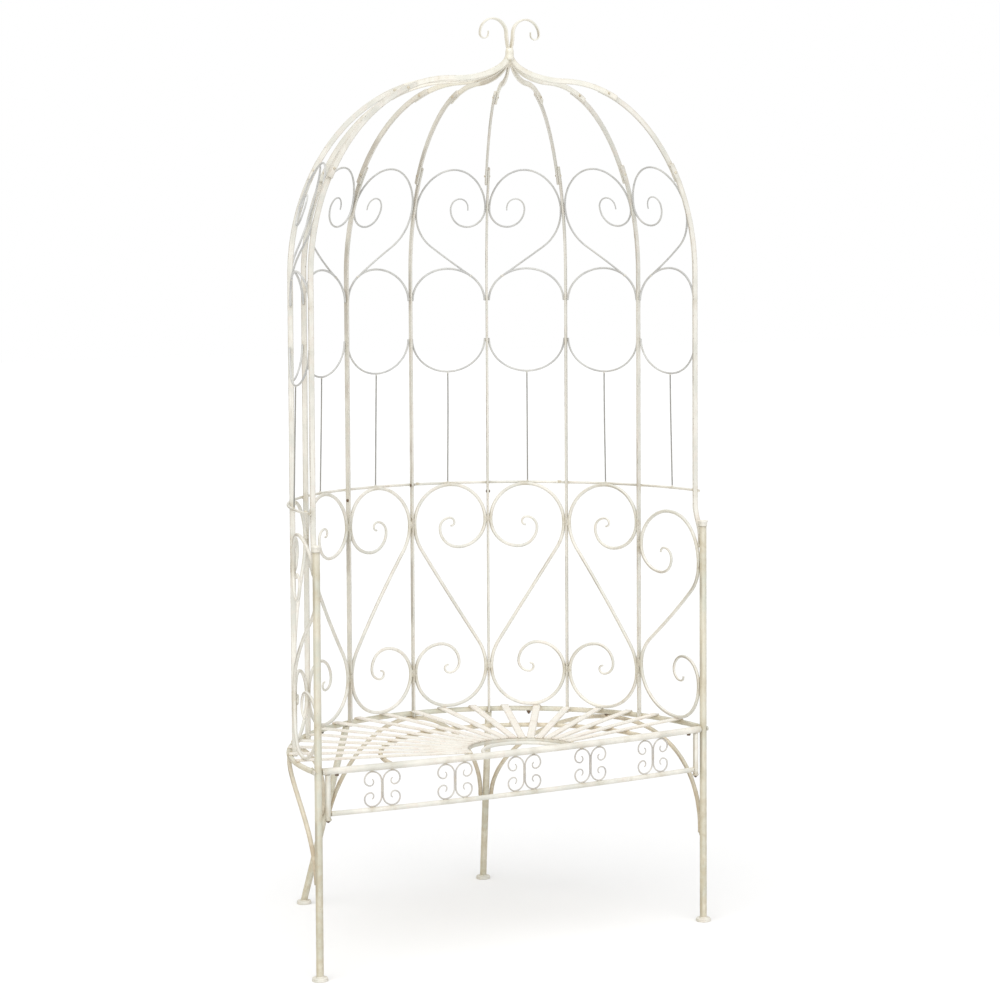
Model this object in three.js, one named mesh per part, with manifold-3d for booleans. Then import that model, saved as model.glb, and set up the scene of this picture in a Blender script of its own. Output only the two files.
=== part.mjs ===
// A garden arbour seat in painted wrought iron: a half-round slatted seat on four legs, a screen of
// S-scrolls between flat uprights round its back, and a half dome of ribs above with a scrolled finial.
// Millimetres, +Z up, the open front towards -Y. Everything is drawn about the dome's upright axis on
// the ground, and the whole is then moved so that the origin is under the middle of the seat.
import * as THREE from "three";
import { mergeVertices } from "three/addons/utils/BufferGeometryUtils.js";
import Module from "manifold-3d";

const wasm = await Module();
wasm.setup();

// Whole seat
const seatHeight = 450; // ground to the middle of the front seat rail
const postSpread = 490; // dome axis to the middle of a front post, sideways
const postOutset = 5; // how much further out the posts stand than the uprights
const backRadius = postSpread - postOutset; // dome axis to the middle of the uprights
const bayCount = 8; // spaces between the uprights
const fitGap = 0.3; // between pieces that touch
const weldBite = 0.5; // how far welded pieces run into each other
const mergeGap = 0.0005; // points closer than this are one point

// Uprights and dome
const barDepth = 12;
const barThickness = 5;
const shoulderHeight = 1500; // where the uprights start to lean in
const domeRise = 430; // shoulder to the top of the ribs
const crownRadius = 140; // where the ribs are level
const ribLapHeight = 1712; // lower end of a rib, beside its upright
const ribLapLength = 38;
const armReach = 275; // dome axis to the outer end of a crown arm
const armLapLength = 43;
const neckRadius = 3;
const neckRise = 57; // top of the ribs to the upper ends of the crown arms

// Finial
const hubSkin = 0.4; // hub metal outside the arms' corners
const hubFootDrop = 14; // upper ends of the arms to the foot of the hub
const hubHeadRise = 12; // upper ends of the arms to the top of the hub
const hubHeadRadius = 7.6;
const hubTaper = 7;
const finialDepth = 12;
const finialThickness = 4;
const stemSink = 8;
const stemFootSpread = 2;
const stemSpread = 8;
const stemRise = 30; // top of the hub to the start of the curl
const finialCurlRadius = 33;
const finialTipRadius = 10.5;
const finialTailLength = 6;

// Front posts and feet
const postSetback = 25; // how far the posts stand in front of the dome axis
const postDiameter = 16;
const postTopDrop = 80; // middle of the tie ring to the top of a post
const capDiameter = 22.5;
const capHeight = 13.7;
const capChamfer = 2;
const capClearance = 1; // between a cap and the upright that bends past it
const frontBendRise = 80;
const footDiameter = 35;
const footThickness = 8;

// Back legs
const legDiameter = 16;
const legSplay = 140.7; // how much further out a leg's foot is than its head
const legUpright = 3; // the legs stand under this upright and its mirror

// Tie ring with its wires and loops
const tieHeight = 1000;
const tieBar = 6;
const tieWire = 3;
const loopWire = 4.5;
const loopOffset = 3; // how far the loops lie outside the middle of the uprights
const loopTopHeight = 1347;
const loopDrop = 79;

// Back scrolls
const scrollBar = 8;
const scrollTopDrop = 3; // middle of the tie ring to the middle of the bar over a back scroll
const frontScrollTopDrop = 55;
const joinRoomShare = 0.98; // the widest arc at the side against the widest that the height allows
const tailTurn = (5 * Math.PI) / 9;
// Each arc of a scroll against half the width that it fills: the one that brings its straight upright
// at the side, the quarter turns of the coil, the first two of which span the width, and the tail.
const bayCoil = { join: 1.33, quarters: [1.04, 0.96, 0.74, 0.52, 0.28, 0.13], tail: 0.09 };
const frontCoil = { join: 0.85, quarters: [1.15, 0.85, 0.62, 0.34, 0.25], tail: 0.1 };

// Hearts
const archWire = 5;
const archFootHeight = 1437;
const archRise = 76;
const heartWire = 4.5;
const heartLoopHeight = 1656; // ground to the middle of the heart's outer curl
const heartEvenInset = 0.6; // how much further the curl stays off the even upright than off the odd
const heartLeave = (35 * Math.PI) / 180; // slope at which the heart leaves the arch
const heartInnerShare = 0.49;
const heartCoreShare = 0.247;
const heartTailLength = 5;

// Seat
const railDiameter = 15;
const railBow = 26; // how far the front rail bows forward
const rimBar = 12;
const midHoopRadius = 318;
const midHoopBar = 10;
const innerHoopRadius = 130;
const innerHoopBar = 10;
const innermostHoopRadius = 92;
const innermostHoopBar = 8;
const slatCount = 19;
const slatWidth = 18;
const slatThickness = 3.5;
const slatOverrun = 2.7; // how far a slat runs past the middle of the rim hoop

// Seat bolts
const boltDiameter = 6;
const boltGrip = 14; // how far a bolt goes into the rail
const boltHeadWidth = 10;
const boltHeadHeight = 4;

// Apron under the front rail
const apronDrop = 92; // middle of the seat rail to the middle of the apron rail
const apronDiameter = 11;
const apronEndDiameter = 12;
const apronEndGap = 8; // between an end tube and the post beside it
const apronEndDrop = 15; // middle of the apron rail to the lower end of its end tubes
const ornamentCount = 5;
const ornamentEndRoom = 76.5; // between an end tube and the nearest curl
const ornamentWire = 3.5;
const ornamentReach = 41;
const ornamentOverlap = 0.4; // how far the two curls of a pair run into each other
const ornamentQuarters = [0.56, 0.44, 0.33, 0.2]; // against the reach, which the first two span
const ornamentTail = 0.18;
const ornamentTailTurn = Math.PI / 3;

// Leg arches
const archBar = 10;
const archFrontFoot = 205;
const archBackFoot = 225;

// Facets
const fineSides = 12;
const discSides = 24;
const hoopSides = 8;
const scrollSides = 6;
const wireSides = 4;
const hexSides = 6;
const hoopStepsPerBay = 3; // so that a hoop has a corner at every upright
const railSteps = 12;
const domeFacet = Math.PI / 30;
const ogeeSteps = 8;
const loopSteps = 8;
const curlSteps = [8, 6, 4]; // outer, inner and core half turns
const coilSteps = [4, 4, 3, 3, 2, 2]; // the quarter turns of a scroll
const tailSteps = 2;
const joinSteps = 3;
const legArchSteps = 14;
const ornamentSteps = [4, 3, 3, 2];
const bendSteps = 6;

const UP = new THREE.Vector3(0, 0, 1);
const ACROSS = new THREE.Vector3(1, 0, 0);
const INWARD = new THREE.Vector3(0, 1, 0);
const QUARTER = Math.PI / 2;
const HALF = Math.PI;

// Values that follow from the sizes
const bayAngle = HALF / bayCount;
const postRadius = postDiameter / 2;
const uprightFoot = seatHeight - rimBar / 2;
const postTop = tieHeight - postTopDrop;
const apronHeight = seatHeight - apronDrop;
const hoopTop = seatHeight + rimBar / 2;
const slatTop = hoopTop + fitGap + slatThickness;
const domeTop = shoulderHeight + domeRise;
const rimRadius = backRadius + barDepth / 2 + fitGap + rimBar / 2;
const tieRadius = backRadius + barDepth / 2 + fitGap + tieBar / 2;
const legAngle = legUpright * bayAngle;
const legFootRadius = rimRadius + legSplay;
const legHead = uprightFoot - fitGap;
const legFoot = footThickness + fitGap;
const railHalf = postSpread - postRadius - fitGap;
const railBowRadius = (railHalf ** 2 + railBow ** 2) / (2 * railBow);
const railMiddle = new THREE.Vector3(0, -postSetback - railBow, seatHeight);
const bowCentreY = railMiddle.y + railBowRadius;

// How far in front of the dome axis the bowed rails are at a place along them.
function bowY(x) {
  return bowCentreY - Math.sqrt(railBowRadius ** 2 - x ** 2);
}

// A point at a radius and an angle round the dome axis, moved sideways along the tangent there.
function polar(radius, angle, height, sideways = 0) {
  return new THREE.Vector3(
    radius * Math.cos(angle) - sideways * Math.sin(angle),
    radius * Math.sin(angle) + sideways * Math.cos(angle),
    height,
  );
}

function tangent(angle) {
  return new THREE.Vector3(-Math.sin(angle), Math.cos(angle), 0);
}

function outwardAt(point) {
  return new THREE.Vector3(point.x, point.y, 0).normalize();
}

// The even spread of values from one to another, both included.
function spread(from, to, steps) {
  return Array.from({ length: steps + 1 }, (_, i) => from + ((to - from) * i) / steps);
}

const hoopAngles = spread(0, HALF, bayCount * hoopStepsPerBay);

// A path through given points. The section's first axis is held towards a given side, and the end
// sections can be turned to face a given way.
class BarPath extends THREE.Curve {
  constructor(points, side, ends) {
    super();
    this.points = points;
    this.side = side;
    this.ends = ends;
  }

  getSpacedPoints() {
    return this.points;
  }

  tangentAt(i) {
    const last = this.points.length - 1;
    if (i === 0 && this.ends.first) return this.ends.first;
    if (i === last && this.ends.last) return this.ends.last;
    const along = new THREE.Vector3();
    if (i > 0) along.add(this.points[i].clone().sub(this.points[i - 1]).normalize());
    if (i < last) along.add(this.points[i + 1].clone().sub(this.points[i]).normalize());
    return along.normalize();
  }

  computeFrenetFrames() {
    const tangents = this.points.map((_, i) => this.tangentAt(i));
    const normals = this.points.map((point, i) => {
      const side = this.side.isVector3 ? this.side.clone() : this.side(point);
      return side.addScaledVector(tangents[i], -side.dot(tangents[i])).normalize();
    });
    const binormals = tangents.map((t, i) => t.clone().cross(normals[i]));
    return { tangents, normals, binormals };
  }
}

// A regular outline with a corner on its second axis, or a square that is as wide as the bar.
function roundOutline(diameter, sides) {
  const square = sides === wireSides;
  const radius = square ? diameter / Math.SQRT2 : diameter / 2;
  const start = square ? QUARTER / 2 : QUARTER;
  const corners = spread(start, start + 2 * HALF, sides).slice(0, sides);
  return new THREE.Shape(
    corners.map((a) => new THREE.Vector2(radius * Math.cos(a), radius * Math.sin(a))),
  );
}

function flatOutline(across, along) {
  return new THREE.Shape([
    new THREE.Vector2(-across / 2, -along / 2),
    new THREE.Vector2(across / 2, -along / 2),
    new THREE.Vector2(across / 2, along / 2),
    new THREE.Vector2(-across / 2, along / 2),
  ]);
}

// A bar of one section along a path.
function bar(outline, points, side, ends = {}) {
  return new THREE.ExtrudeGeometry(outline, {
    steps: points.length - 1,
    bevelEnabled: false,
    extrudePath: new BarPath(points, side, ends),
  });
}

// A turned piece: its profile is given as radius and height pairs from the foot upwards.
function turned(profile, sides) {
  const outline = profile.map(([radius, height]) => new THREE.Vector2(radius, height));
  return new THREE.LatheGeometry(outline, sides).rotateX(QUARTER);
}

function solid(geometry) {
  const bare = geometry.clone();
  bare.deleteAttribute("normal");
  bare.deleteAttribute("uv");
  const merged = mergeVertices(bare, mergeGap);
  return new wasm.Manifold(
    new wasm.Mesh({
      numProp: 3,
      vertProperties: merged.attributes.position.array,
      triVerts: new Uint32Array(merged.index.array),
    }),
  );
}

function geometryOf(made) {
  const mesh = made.getMesh();
  const geometry = new THREE.BufferGeometry();
  geometry.setAttribute("position", new THREE.BufferAttribute(mesh.vertProperties, 3));
  geometry.setIndex(new THREE.BufferAttribute(mesh.triVerts, 1));
  return geometry;
}

function joined(geometries) {
  return geometryOf(geometries.map(solid).reduce((whole, next) => whole.add(next)));
}

function cut(geometry, ...tools) {
  return geometryOf(tools.map(solid).reduce((left, tool) => left.subtract(tool), solid(geometry)));
}

// Draws a plane outline by its lengths and turns, a turn to the left being positive.
class Pen {
  constructor(x, y, heading) {
    this.points = [new THREE.Vector2(x, y)];
    this.heading = heading;
  }

  get place() {
    return this.points[this.points.length - 1];
  }

  line(length) {
    const step = new THREE.Vector2(Math.cos(this.heading), Math.sin(this.heading));
    this.points.push(this.place.clone().addScaledVector(step, length));
    return this;
  }

  arc(radius, turn, steps) {
    const side = Math.sign(turn) * QUARTER;
    const toCentre = this.heading + side;
    const centre = this.place
      .clone()
      .add(new THREE.Vector2(Math.cos(toCentre), Math.sin(toCentre)).multiplyScalar(radius));
    spread(toCentre - HALF, toCentre - HALF + turn, steps)
      .slice(1)
      .forEach((a) => {
        const reach = new THREE.Vector2(Math.cos(a), Math.sin(a)).multiplyScalar(radius);
        this.points.push(centre.clone().add(reach));
      });
    this.heading += turn;
    return this;
  }
}

// Finishes
const cream = { color: 0xe6e0cf, roughness: 0.72, metalness: 0.0 };
const worn = { color: 0xd2c3a8, roughness: 0.85, metalness: 0.0 };
const pale = { color: 0xefe9de, roughness: 0.65, metalness: 0.0 };
const steel = { color: 0x6f6258, roughness: 0.6, metalness: 0.7 };

function piece(name, geometry, finish) {
  const mesh = new THREE.Mesh(geometry, new THREE.MeshStandardMaterial(finish));
  mesh.name = name;
  return mesh;
}

const sides = [
  { name: "left", sign: -1 },
  { name: "right", sign: 1 },
];

// Dome profile: straight up to the shoulder, a quarter ellipse to the crown, then an ogee to the neck.
function domeRadius(height) {
  if (height <= shoulderHeight) return backRadius;
  const climb = (height - shoulderHeight) / domeRise;
  return crownRadius + (backRadius - crownRadius) * Math.sqrt(1 - climb ** 2);
}

function domePoint(turn) {
  return new THREE.Vector2(
    crownRadius + (backRadius - crownRadius) * Math.cos(turn),
    shoulderHeight + domeRise * Math.sin(turn),
  );
}

function turnAtHeight(height) {
  return Math.asin((height - shoulderHeight) / domeRise);
}

function turnAtRadius(radius) {
  return Math.acos((radius - crownRadius) / (backRadius - crownRadius));
}

function domeStretch(from, to) {
  const steps = Math.ceil(Math.abs(to - from) / domeFacet);
  return spread(from, to, steps).map(domePoint);
}

// The flat section of uprights, ribs and arms, its thin way along the tangent.
const barOutline = flatOutline(barThickness, barDepth);
const postBack = -postSetback + postRadius;
const lapY = postBack + fitGap + barThickness / 2;

// Where a back scroll beside a post ends, as an angle round the dome axis.
const postReach = Math.hypot(postSpread, postSetback);
const postTouch = postRadius + fitGap + scrollBar / 2;
const postContactAngle =
  Math.acos((backRadius ** 2 + postReach ** 2 - postTouch ** 2) / (2 * backRadius * postReach)) -
  Math.atan2(postSetback, postSpread);
const uprightContactAngle = (barThickness / 2 + fitGap + scrollBar / 2) / backRadius;
const scrollBottom = slatTop + fitGap + scrollBar / 2;

// The space that a back scroll fills, its middle angle, half its width and its height, and its coil.
function scrollSpace(bay) {
  const first = bay === 0;
  const last = bay === bayCount - 1;
  const from = first ? postContactAngle : bay * bayAngle + uprightContactAngle;
  const to = last ? HALF - postContactAngle : (bay + 1) * bayAngle - uprightContactAngle;
  return {
    middle: (from + to) / 2,
    half: ((to - from) / 2) * backRadius,
    top: tieHeight - (first || last ? frontScrollTopDrop : scrollTopDrop),
    coil: first || last ? frontCoil : bayCoil,
  };
}

// The front uprights end just above the shoulder of the scroll beside them.
const frontScroll = scrollSpace(0);
const frontCurve = frontScroll.half * frontCoil.quarters[0];
const frontLoopHeight = frontScroll.top - frontCurve;
const scrollOuter = frontCurve + scrollBar / 2 + fitGap;
const curveMiddle = frontScroll.middle * backRadius + frontCurve - frontScroll.half;
const lapReach = curveMiddle - (lapY + barThickness / 2);
const frontFoot = frontLoopHeight + Math.sqrt(scrollOuter ** 2 - lapReach ** 2) + fitGap;

// They start to bend back in time to clear the post's cap.
const lapToCap = (capDiameter / 2 + capClearance - postRadius - fitGap) / -lapY;
const bendLead = (Math.acos(1 - 2 * lapToCap) / HALF) * frontBendRise;
const frontBendFoot = postTop - bendLead;

function uprightPoints(index) {
  const angle = index * bayAngle;
  const dome = domeStretch(0, turnAtHeight(ribLapHeight + ribLapLength));
  const upper = dome.map((p) => polar(p.x, angle, p.y));
  if (index > 0 && index < bayCount) return [polar(backRadius, angle, uprightFoot), ...upper];
  const heights = spread(frontBendFoot, frontBendFoot + frontBendRise, bendSteps);
  const bend = [frontFoot, ...heights.filter((z) => z > frontFoot)].map((z) => {
    const turn = Math.min(Math.max((z - frontBendFoot) / frontBendRise, 0), 1) * HALF;
    const share = (1 + Math.cos(turn)) / 2;
    const x = backRadius + (postSpread - backRadius) * share;
    return new THREE.Vector3(Math.sign(Math.cos(angle)) * x, lapY * share, z);
  });
  return [...bend, ...upper];
}

function uprights() {
  const group = new THREE.Group();
  for (let i = 0; i <= bayCount; i += 1) {
    const geometry = bar(barOutline, uprightPoints(i), tangent(i * bayAngle), { first: UP });
    group.add(piece(`upright_${i + 1}`, geometry, cream));
  }
  return group;
}

// The ribs lie beside the uprights, one bar's thickness round the dome.
const ribOffset = barThickness + fitGap;

function domeRibs() {
  const group = new THREE.Group();
  const profile = domeStretch(turnAtHeight(ribLapHeight), turnAtRadius(armReach - armLapLength));
  for (let i = 0; i <= bayCount; i += 1) {
    const angle = i * bayAngle;
    const points = profile.map((p) => polar(p.x, angle, p.y, ribOffset));
    group.add(piece(`dome_rib_${i + 1}`, bar(barOutline, points, tangent(angle)), cream));
  }
  return group;
}

// Crown: nine short arms that rise to the neck, the hub that holds them, and the two finial scrolls.
function crown() {
  const neckHeight = domeTop + neckRise;
  const startPullShare = 0.47;
  const neckPullShare = 0.6;
  const ogee = new THREE.CubicBezierCurve(
    new THREE.Vector2(crownRadius, domeTop),
    new THREE.Vector2(crownRadius * (1 - startPullShare), domeTop),
    new THREE.Vector2(neckRadius, neckHeight - neckRise * neckPullShare),
    new THREE.Vector2(neckRadius, neckHeight),
  );
  const profile = [
    ...domeStretch(turnAtRadius(armReach), QUARTER),
    ...ogee.getSpacedPoints(ogeeSteps).slice(1),
  ];
  const arms = Array.from({ length: bayCount + 1 }, (_, i) => {
    const angle = i * bayAngle;
    return bar(barOutline, profile.map((p) => polar(p.x, angle, p.y)), tangent(angle));
  });
  const hubRadius = Math.hypot(neckRadius + barDepth / 2, barThickness / 2) + hubSkin;
  const hubHead = neckHeight + hubHeadRise;
  const hub = turned(
    [
      [0, neckHeight - hubFootDrop],
      [hubRadius, neckHeight - hubFootDrop],
      [hubRadius, hubHead - hubTaper],
      [hubHeadRadius, hubHead],
      [0, hubHead],
    ],
    fineSides,
  );
  const scrolls = sides.map(({ sign }) => finialScroll(sign, hubHead));
  return piece("crown", joined([hub, ...arms, ...scrolls]), worn);
}

function finialScroll(sign, hubHead) {
  const stemFoot = new THREE.Vector2(stemFootSpread, hubHead - stemSink);
  const pen = new Pen(stemSpread, hubHead + stemRise, QUARTER);
  pen.arc(finialCurlRadius, -HALF, curlSteps[0]);
  pen.arc(finialTipRadius, -HALF, curlSteps[1]);
  pen.line(finialTailLength);
  const outline = [stemFoot, ...pen.points];
  const points = outline.map((p) => new THREE.Vector3(sign * p.x, 0, p.y));
  return bar(flatOutline(finialDepth, finialThickness), points, INWARD);
}

// Panels between the uprights are drawn flat, then rolled on to the dome. Across is measured round
// the dome from the middle of the bay, positive towards the even upright, which alternates.
function evenSide(bay) {
  return bay % 2 === 0 ? -1 : 1;
}

function rolled(points, middle, sign, radiusAt) {
  return points.map((p) => polar(radiusAt(p.y), middle + (sign * p.x) / backRadius, p.y));
}

// Half the width between two uprights at a radius, less half a wire, measured at the back radius.
function bayReach(radius, wire) {
  return backRadius * (bayAngle / 2 - (barThickness / 2 + fitGap + wire / 2) / radius);
}

// Tie ring, with a wire standing on it in each bay and a loop at the top of the wire.
function tieRing() {
  const overhang = barThickness / 2;
  const ringPoints = [
    new THREE.Vector3(tieRadius, -overhang, tieHeight),
    ...hoopAngles.map((a) => polar(tieRadius, a, tieHeight)),
    new THREE.Vector3(-tieRadius, -overhang, tieHeight),
  ];
  const ring = bar(roundOutline(tieBar, scrollSides), ringPoints, UP);
  const loopRadius = backRadius + loopOffset;
  const reach = bayReach(loopRadius, loopWire);
  const outline = spread(0, HALF, loopSteps).map(
    (t) => new THREE.Vector2(-reach * Math.cos(t), loopTopHeight - loopDrop * Math.sin(t)),
  );
  const bays = Array.from({ length: bayCount }, (_, bay) => (bay + 1 / 2) * bayAngle);
  const wires = bays.map((middle) => {
    const foot = polar(tieRadius, middle, tieHeight);
    const head = polar(loopRadius, middle, loopTopHeight - loopDrop);
    return bar(roundOutline(tieWire, wireSides), [foot, head], tangent(middle));
  });
  const ends = { first: UP.clone().negate(), last: UP };
  const loops = bays.map((middle) => {
    const points = rolled(outline, middle, 1, () => loopRadius);
    return bar(roundOutline(loopWire, wireSides), points, outwardAt, ends);
  });
  return piece("tie_ring", joined([ring, ...wires, ...loops]), cream);
}

// Half of an S-scroll from its middle outwards: it leaves towards one side, meets that side upright,
// goes over the top and coils in from the other side in ever tighter quarter turns.
function halfScroll(half, climb, coil) {
  const rise = climb - half * coil.quarters[0];
  const widest = (rise ** 2 + half ** 2) / (2 * half);
  const join = Math.min(half * coil.join, widest * joinRoomShare);
  const reach = Math.hypot(rise, join - half);
  const lean = Math.asin(join / reach) - Math.atan2(join - half, rise);
  const length = (rise - join * Math.sin(lean)) / Math.cos(lean);
  const pen = new Pen(0, 0, QUARTER - lean).line(length).arc(join, lean, joinSteps);
  coil.quarters.forEach((share, i) => pen.arc(half * share, QUARTER, coilSteps[i]));
  return pen.arc(half * coil.tail, tailTurn, tailSteps).points;
}

function backScrolls() {
  const group = new THREE.Group();
  for (let bay = 0; bay < bayCount; bay += 1) {
    const space = scrollSpace(bay);
    const middleHeight = (space.top + scrollBottom) / 2;
    const upper = halfScroll(space.half, space.top - middleHeight, space.coil);
    const lower = upper.slice(1).map((p) => p.clone().negate());
    const outline = [...lower.reverse(), ...upper].filter((p) => p.lengthSq() > 0);
    outline.forEach((p) => p.setY(p.y + middleHeight));
    const points = rolled(outline, space.middle, evenSide(bay), () => backRadius);
    const geometry = bar(roundOutline(scrollBar, scrollSides), points, outwardAt);
    group.add(piece(`back_scroll_${bay + 1}`, geometry, cream));
  }
  return group;
}

// Half a heart, from where it leaves the arch over to its curl.
function halfHeart(archReach) {
  const loopReach = bayReach(domeRadius(heartLoopHeight), heartWire);
  const evenReach = loopReach - heartEvenInset;
  const leaveTurn = Math.atan((Math.tan(heartLeave) * archReach) / archRise);
  const start = new THREE.Vector2(
    -archReach * Math.sin(leaveTurn),
    archFootHeight + archRise * Math.cos(leaveTurn),
  );
  const turn = QUARTER - heartLeave;
  const slope = Math.tan(heartLeave);
  const join =
    (heartLoopHeight - start.y - (evenReach - start.x) * slope) /
    (Math.sin(turn) - (1 - Math.cos(turn)) * slope);
  const across = evenReach - start.x - join * (1 - Math.cos(turn));
  const half = (evenReach + loopReach) / 2;
  const pen = new Pen(start.x, start.y, heartLeave).line(across / Math.cos(heartLeave));
  pen.arc(join, turn, joinSteps);
  pen.arc(half, HALF, curlSteps[0]);
  pen.arc(half * heartInnerShare, HALF, curlSteps[1]);
  pen.arc(half * heartCoreShare, HALF, curlSteps[2]);
  pen.line(heartTailLength);
  return pen.points;
}

function hearts() {
  const group = new THREE.Group();
  const reach = bayReach(backRadius, archWire);
  const arch = spread(0, HALF, loopSteps).map(
    (t) => new THREE.Vector2(reach * Math.cos(t), archFootHeight + archRise * Math.sin(t)),
  );
  const heart = halfHeart(reach);
  for (let bay = 0; bay < bayCount; bay += 1) {
    const middle = (bay + 1 / 2) * bayAngle;
    const sign = evenSide(bay);
    const ends = { first: UP, last: UP.clone().negate() };
    const archPoints = rolled(arch, middle, sign, domeRadius);
    const geometry = joined([
      bar(roundOutline(archWire, wireSides), archPoints, outwardAt, ends),
      bar(roundOutline(heartWire, wireSides), rolled(heart, middle, sign, domeRadius), outwardAt),
    ]);
    group.add(piece(`heart_${bay + 1}`, geometry, cream));
  }
  return group;
}

// Posts stand on the foot discs and are drilled for the seat bolts.
function frontPosts() {
  const group = new THREE.Group();
  const boltHole = boltDiameter + 2 * fitGap;
  for (const { name, sign } of sides) {
    const x = sign * postSpread;
    const ends = [new THREE.Vector3(x, -postSetback, legFoot), new THREE.Vector3(x, -postSetback, postTop)];
    const post = bar(roundOutline(postDiameter, fineSides), ends, ACROSS);
    const drill = [x - postDiameter, x + postDiameter].map(
      (at) => new THREE.Vector3(at, -postSetback, seatHeight),
    );
    const hole = bar(roundOutline(boltHole, fineSides), drill, UP);
    group.add(piece(`front_post_${name}`, cut(post, hole), cream));
    const cap = turned(
      [
        [0, 0],
        [capDiameter / 2, 0],
        [capDiameter / 2, capHeight - capChamfer],
        [capDiameter / 2 - capChamfer, capHeight],
        [0, capHeight],
      ],
      fineSides,
    );
    cap.translate(x, -postSetback, postTop + fitGap);
    group.add(piece(`post_cap_${name}`, cap, worn));
  }
  return group;
}

function legPlace(sign, radius, height) {
  const across = radius * Math.cos(legAngle);
  return new THREE.Vector3(sign * across, radius * Math.sin(legAngle), height);
}

function backLegs() {
  const group = new THREE.Group();
  for (const { name, sign } of sides) {
    const ends = [legPlace(sign, legFootRadius, legFoot), legPlace(sign, rimRadius, legHead)];
    const outward = outwardAt(ends[0]);
    const leg = bar(roundOutline(legDiameter, fineSides), ends, outward, { first: UP, last: UP });
    group.add(piece(`back_leg_${name}`, leg, cream));
  }
  return group;
}

function feet() {
  const group = new THREE.Group();
  for (const { name, sign } of sides) {
    const places = {
      front: new THREE.Vector3(sign * postSpread, -postSetback, 0),
      back: legPlace(sign, legFootRadius, 0),
    };
    for (const [end, place] of Object.entries(places)) {
      const disc = turned(
        [
          [0, 0],
          [footDiameter / 2, 0],
          [footDiameter / 2, footThickness],
          [0, footThickness],
        ],
        discSides,
      );
      disc.translate(place.x, place.y, place.z);
      group.add(piece(`foot_disc_${end}_${name}`, disc, worn));
    }
  }
  return group;
}

// Front seat rail, bowed forward, with a blind hole in each end for its bolt.
function frontRail() {
  const points = spread(-railHalf, railHalf, railSteps).map(
    (x) => new THREE.Vector3(x, bowY(x), seatHeight),
  );
  const rail = bar(roundOutline(railDiameter, fineSides), points, UP, { first: ACROSS, last: ACROSS });
  const holes = sides.map(({ sign }) => {
    const ends = [railHalf - boltGrip - fitGap, postSpread].map(
      (x) => new THREE.Vector3(sign * x, -postSetback, seatHeight),
    );
    return bar(roundOutline(boltDiameter + 2 * fitGap, fineSides), ends, UP);
  });
  return piece("front_rail", cut(rail, ...holes), cream);
}

function seatBolts() {
  const group = new THREE.Group();
  const headSeat = postSpread + postRadius + fitGap;
  const headRadius = boltHeadWidth / 2 / Math.cos(HALF / hexSides);
  for (const { name, sign } of sides) {
    const place = (x) => new THREE.Vector3(sign * x, -postSetback, seatHeight);
    const shank = [place(railHalf - boltGrip), place(headSeat + boltHeadHeight / 2)];
    const head = [place(headSeat), place(headSeat + boltHeadHeight)];
    const geometry = joined([
      bar(roundOutline(boltDiameter, fineSides), shank, UP),
      bar(roundOutline(2 * headRadius, hexSides), head, UP),
    ]);
    group.add(piece(`seat_bolt_${name}`, geometry, steel));
  }
  return group;
}

// The rim hoop goes round outside the uprights and straight on to the backs of the posts.
function seatRim() {
  const endY = postBack + fitGap;
  const points = [
    new THREE.Vector3(rimRadius, endY, seatHeight),
    ...hoopAngles.map((a) => polar(rimRadius, a, seatHeight)),
    new THREE.Vector3(-rimRadius, endY, seatHeight),
  ];
  return piece("seat_rim", bar(roundOutline(rimBar, hoopSides), points, UP), cream);
}

// A half hoop round the middle of the front rail, its ends square on to the back of the rail.
function hoop(radius, diameter, height) {
  const backOfRail = railBowRadius - railDiameter / 2 - fitGap;
  const rise = (radius ** 2 + railBowRadius ** 2 - backOfRail ** 2) / (2 * radius * railBowRadius);
  const start = Math.asin(rise);
  const points = spread(start, HALF - start, hoopAngles.length - 1).map(
    (a) => new THREE.Vector3(radius * Math.cos(a), railMiddle.y + radius * Math.sin(a), height),
  );
  const bowCentre = new THREE.Vector3(0, bowCentreY, height);
  const first = bowCentre.clone().sub(points[0]).normalize();
  const last = points[points.length - 1].clone().sub(bowCentre).normalize();
  return bar(roundOutline(diameter, hoopSides), points, UP, { first, last });
}

// Slats fan out from the middle of the front rail and lie on the hoops. One that would meet an
// upright stops just inside it.
function slat(index) {
  const angle = (HALF * (index + 1)) / (slatCount + 1);
  const upright = Math.round(angle / bayAngle) * bayAngle;
  const room = (slatWidth + barThickness) / 2 + fitGap;
  const blocked = Math.abs(angle - upright) * backRadius < room;
  const reach = blocked ? backRadius - barDepth / 2 - fitGap : rimRadius + slatOverrun;
  const level = hoopTop + fitGap + slatThickness / 2;
  const start = innerHoopRadius - innerHoopBar / 2;
  const ends = [
    new THREE.Vector3(start * Math.cos(angle), railMiddle.y + start * Math.sin(angle), level),
    polar(reach, angle, level),
  ];
  return bar(flatOutline(slatThickness, slatWidth), ends, UP);
}

function seatSlats() {
  const hoopLevel = hoopTop + fitGap + weldBite - innerHoopBar / 2;
  const innerHoop = hoop(innerHoopRadius, innerHoopBar, hoopLevel);
  const slats = Array.from({ length: slatCount }, (_, i) => slat(i));
  return piece("seat_slats", joined([innerHoop, ...slats]), pale);
}

function seatHoops() {
  const group = new THREE.Group();
  const mid = hoop(midHoopRadius, midHoopBar, hoopTop - midHoopBar / 2);
  const innermost = hoop(innermostHoopRadius, innermostHoopBar, hoopTop - innermostHoopBar / 2);
  group.add(piece("seat_mid_hoop", mid, cream));
  group.add(piece("seat_inner_hoop", innermost, cream));
  return group;
}

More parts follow.
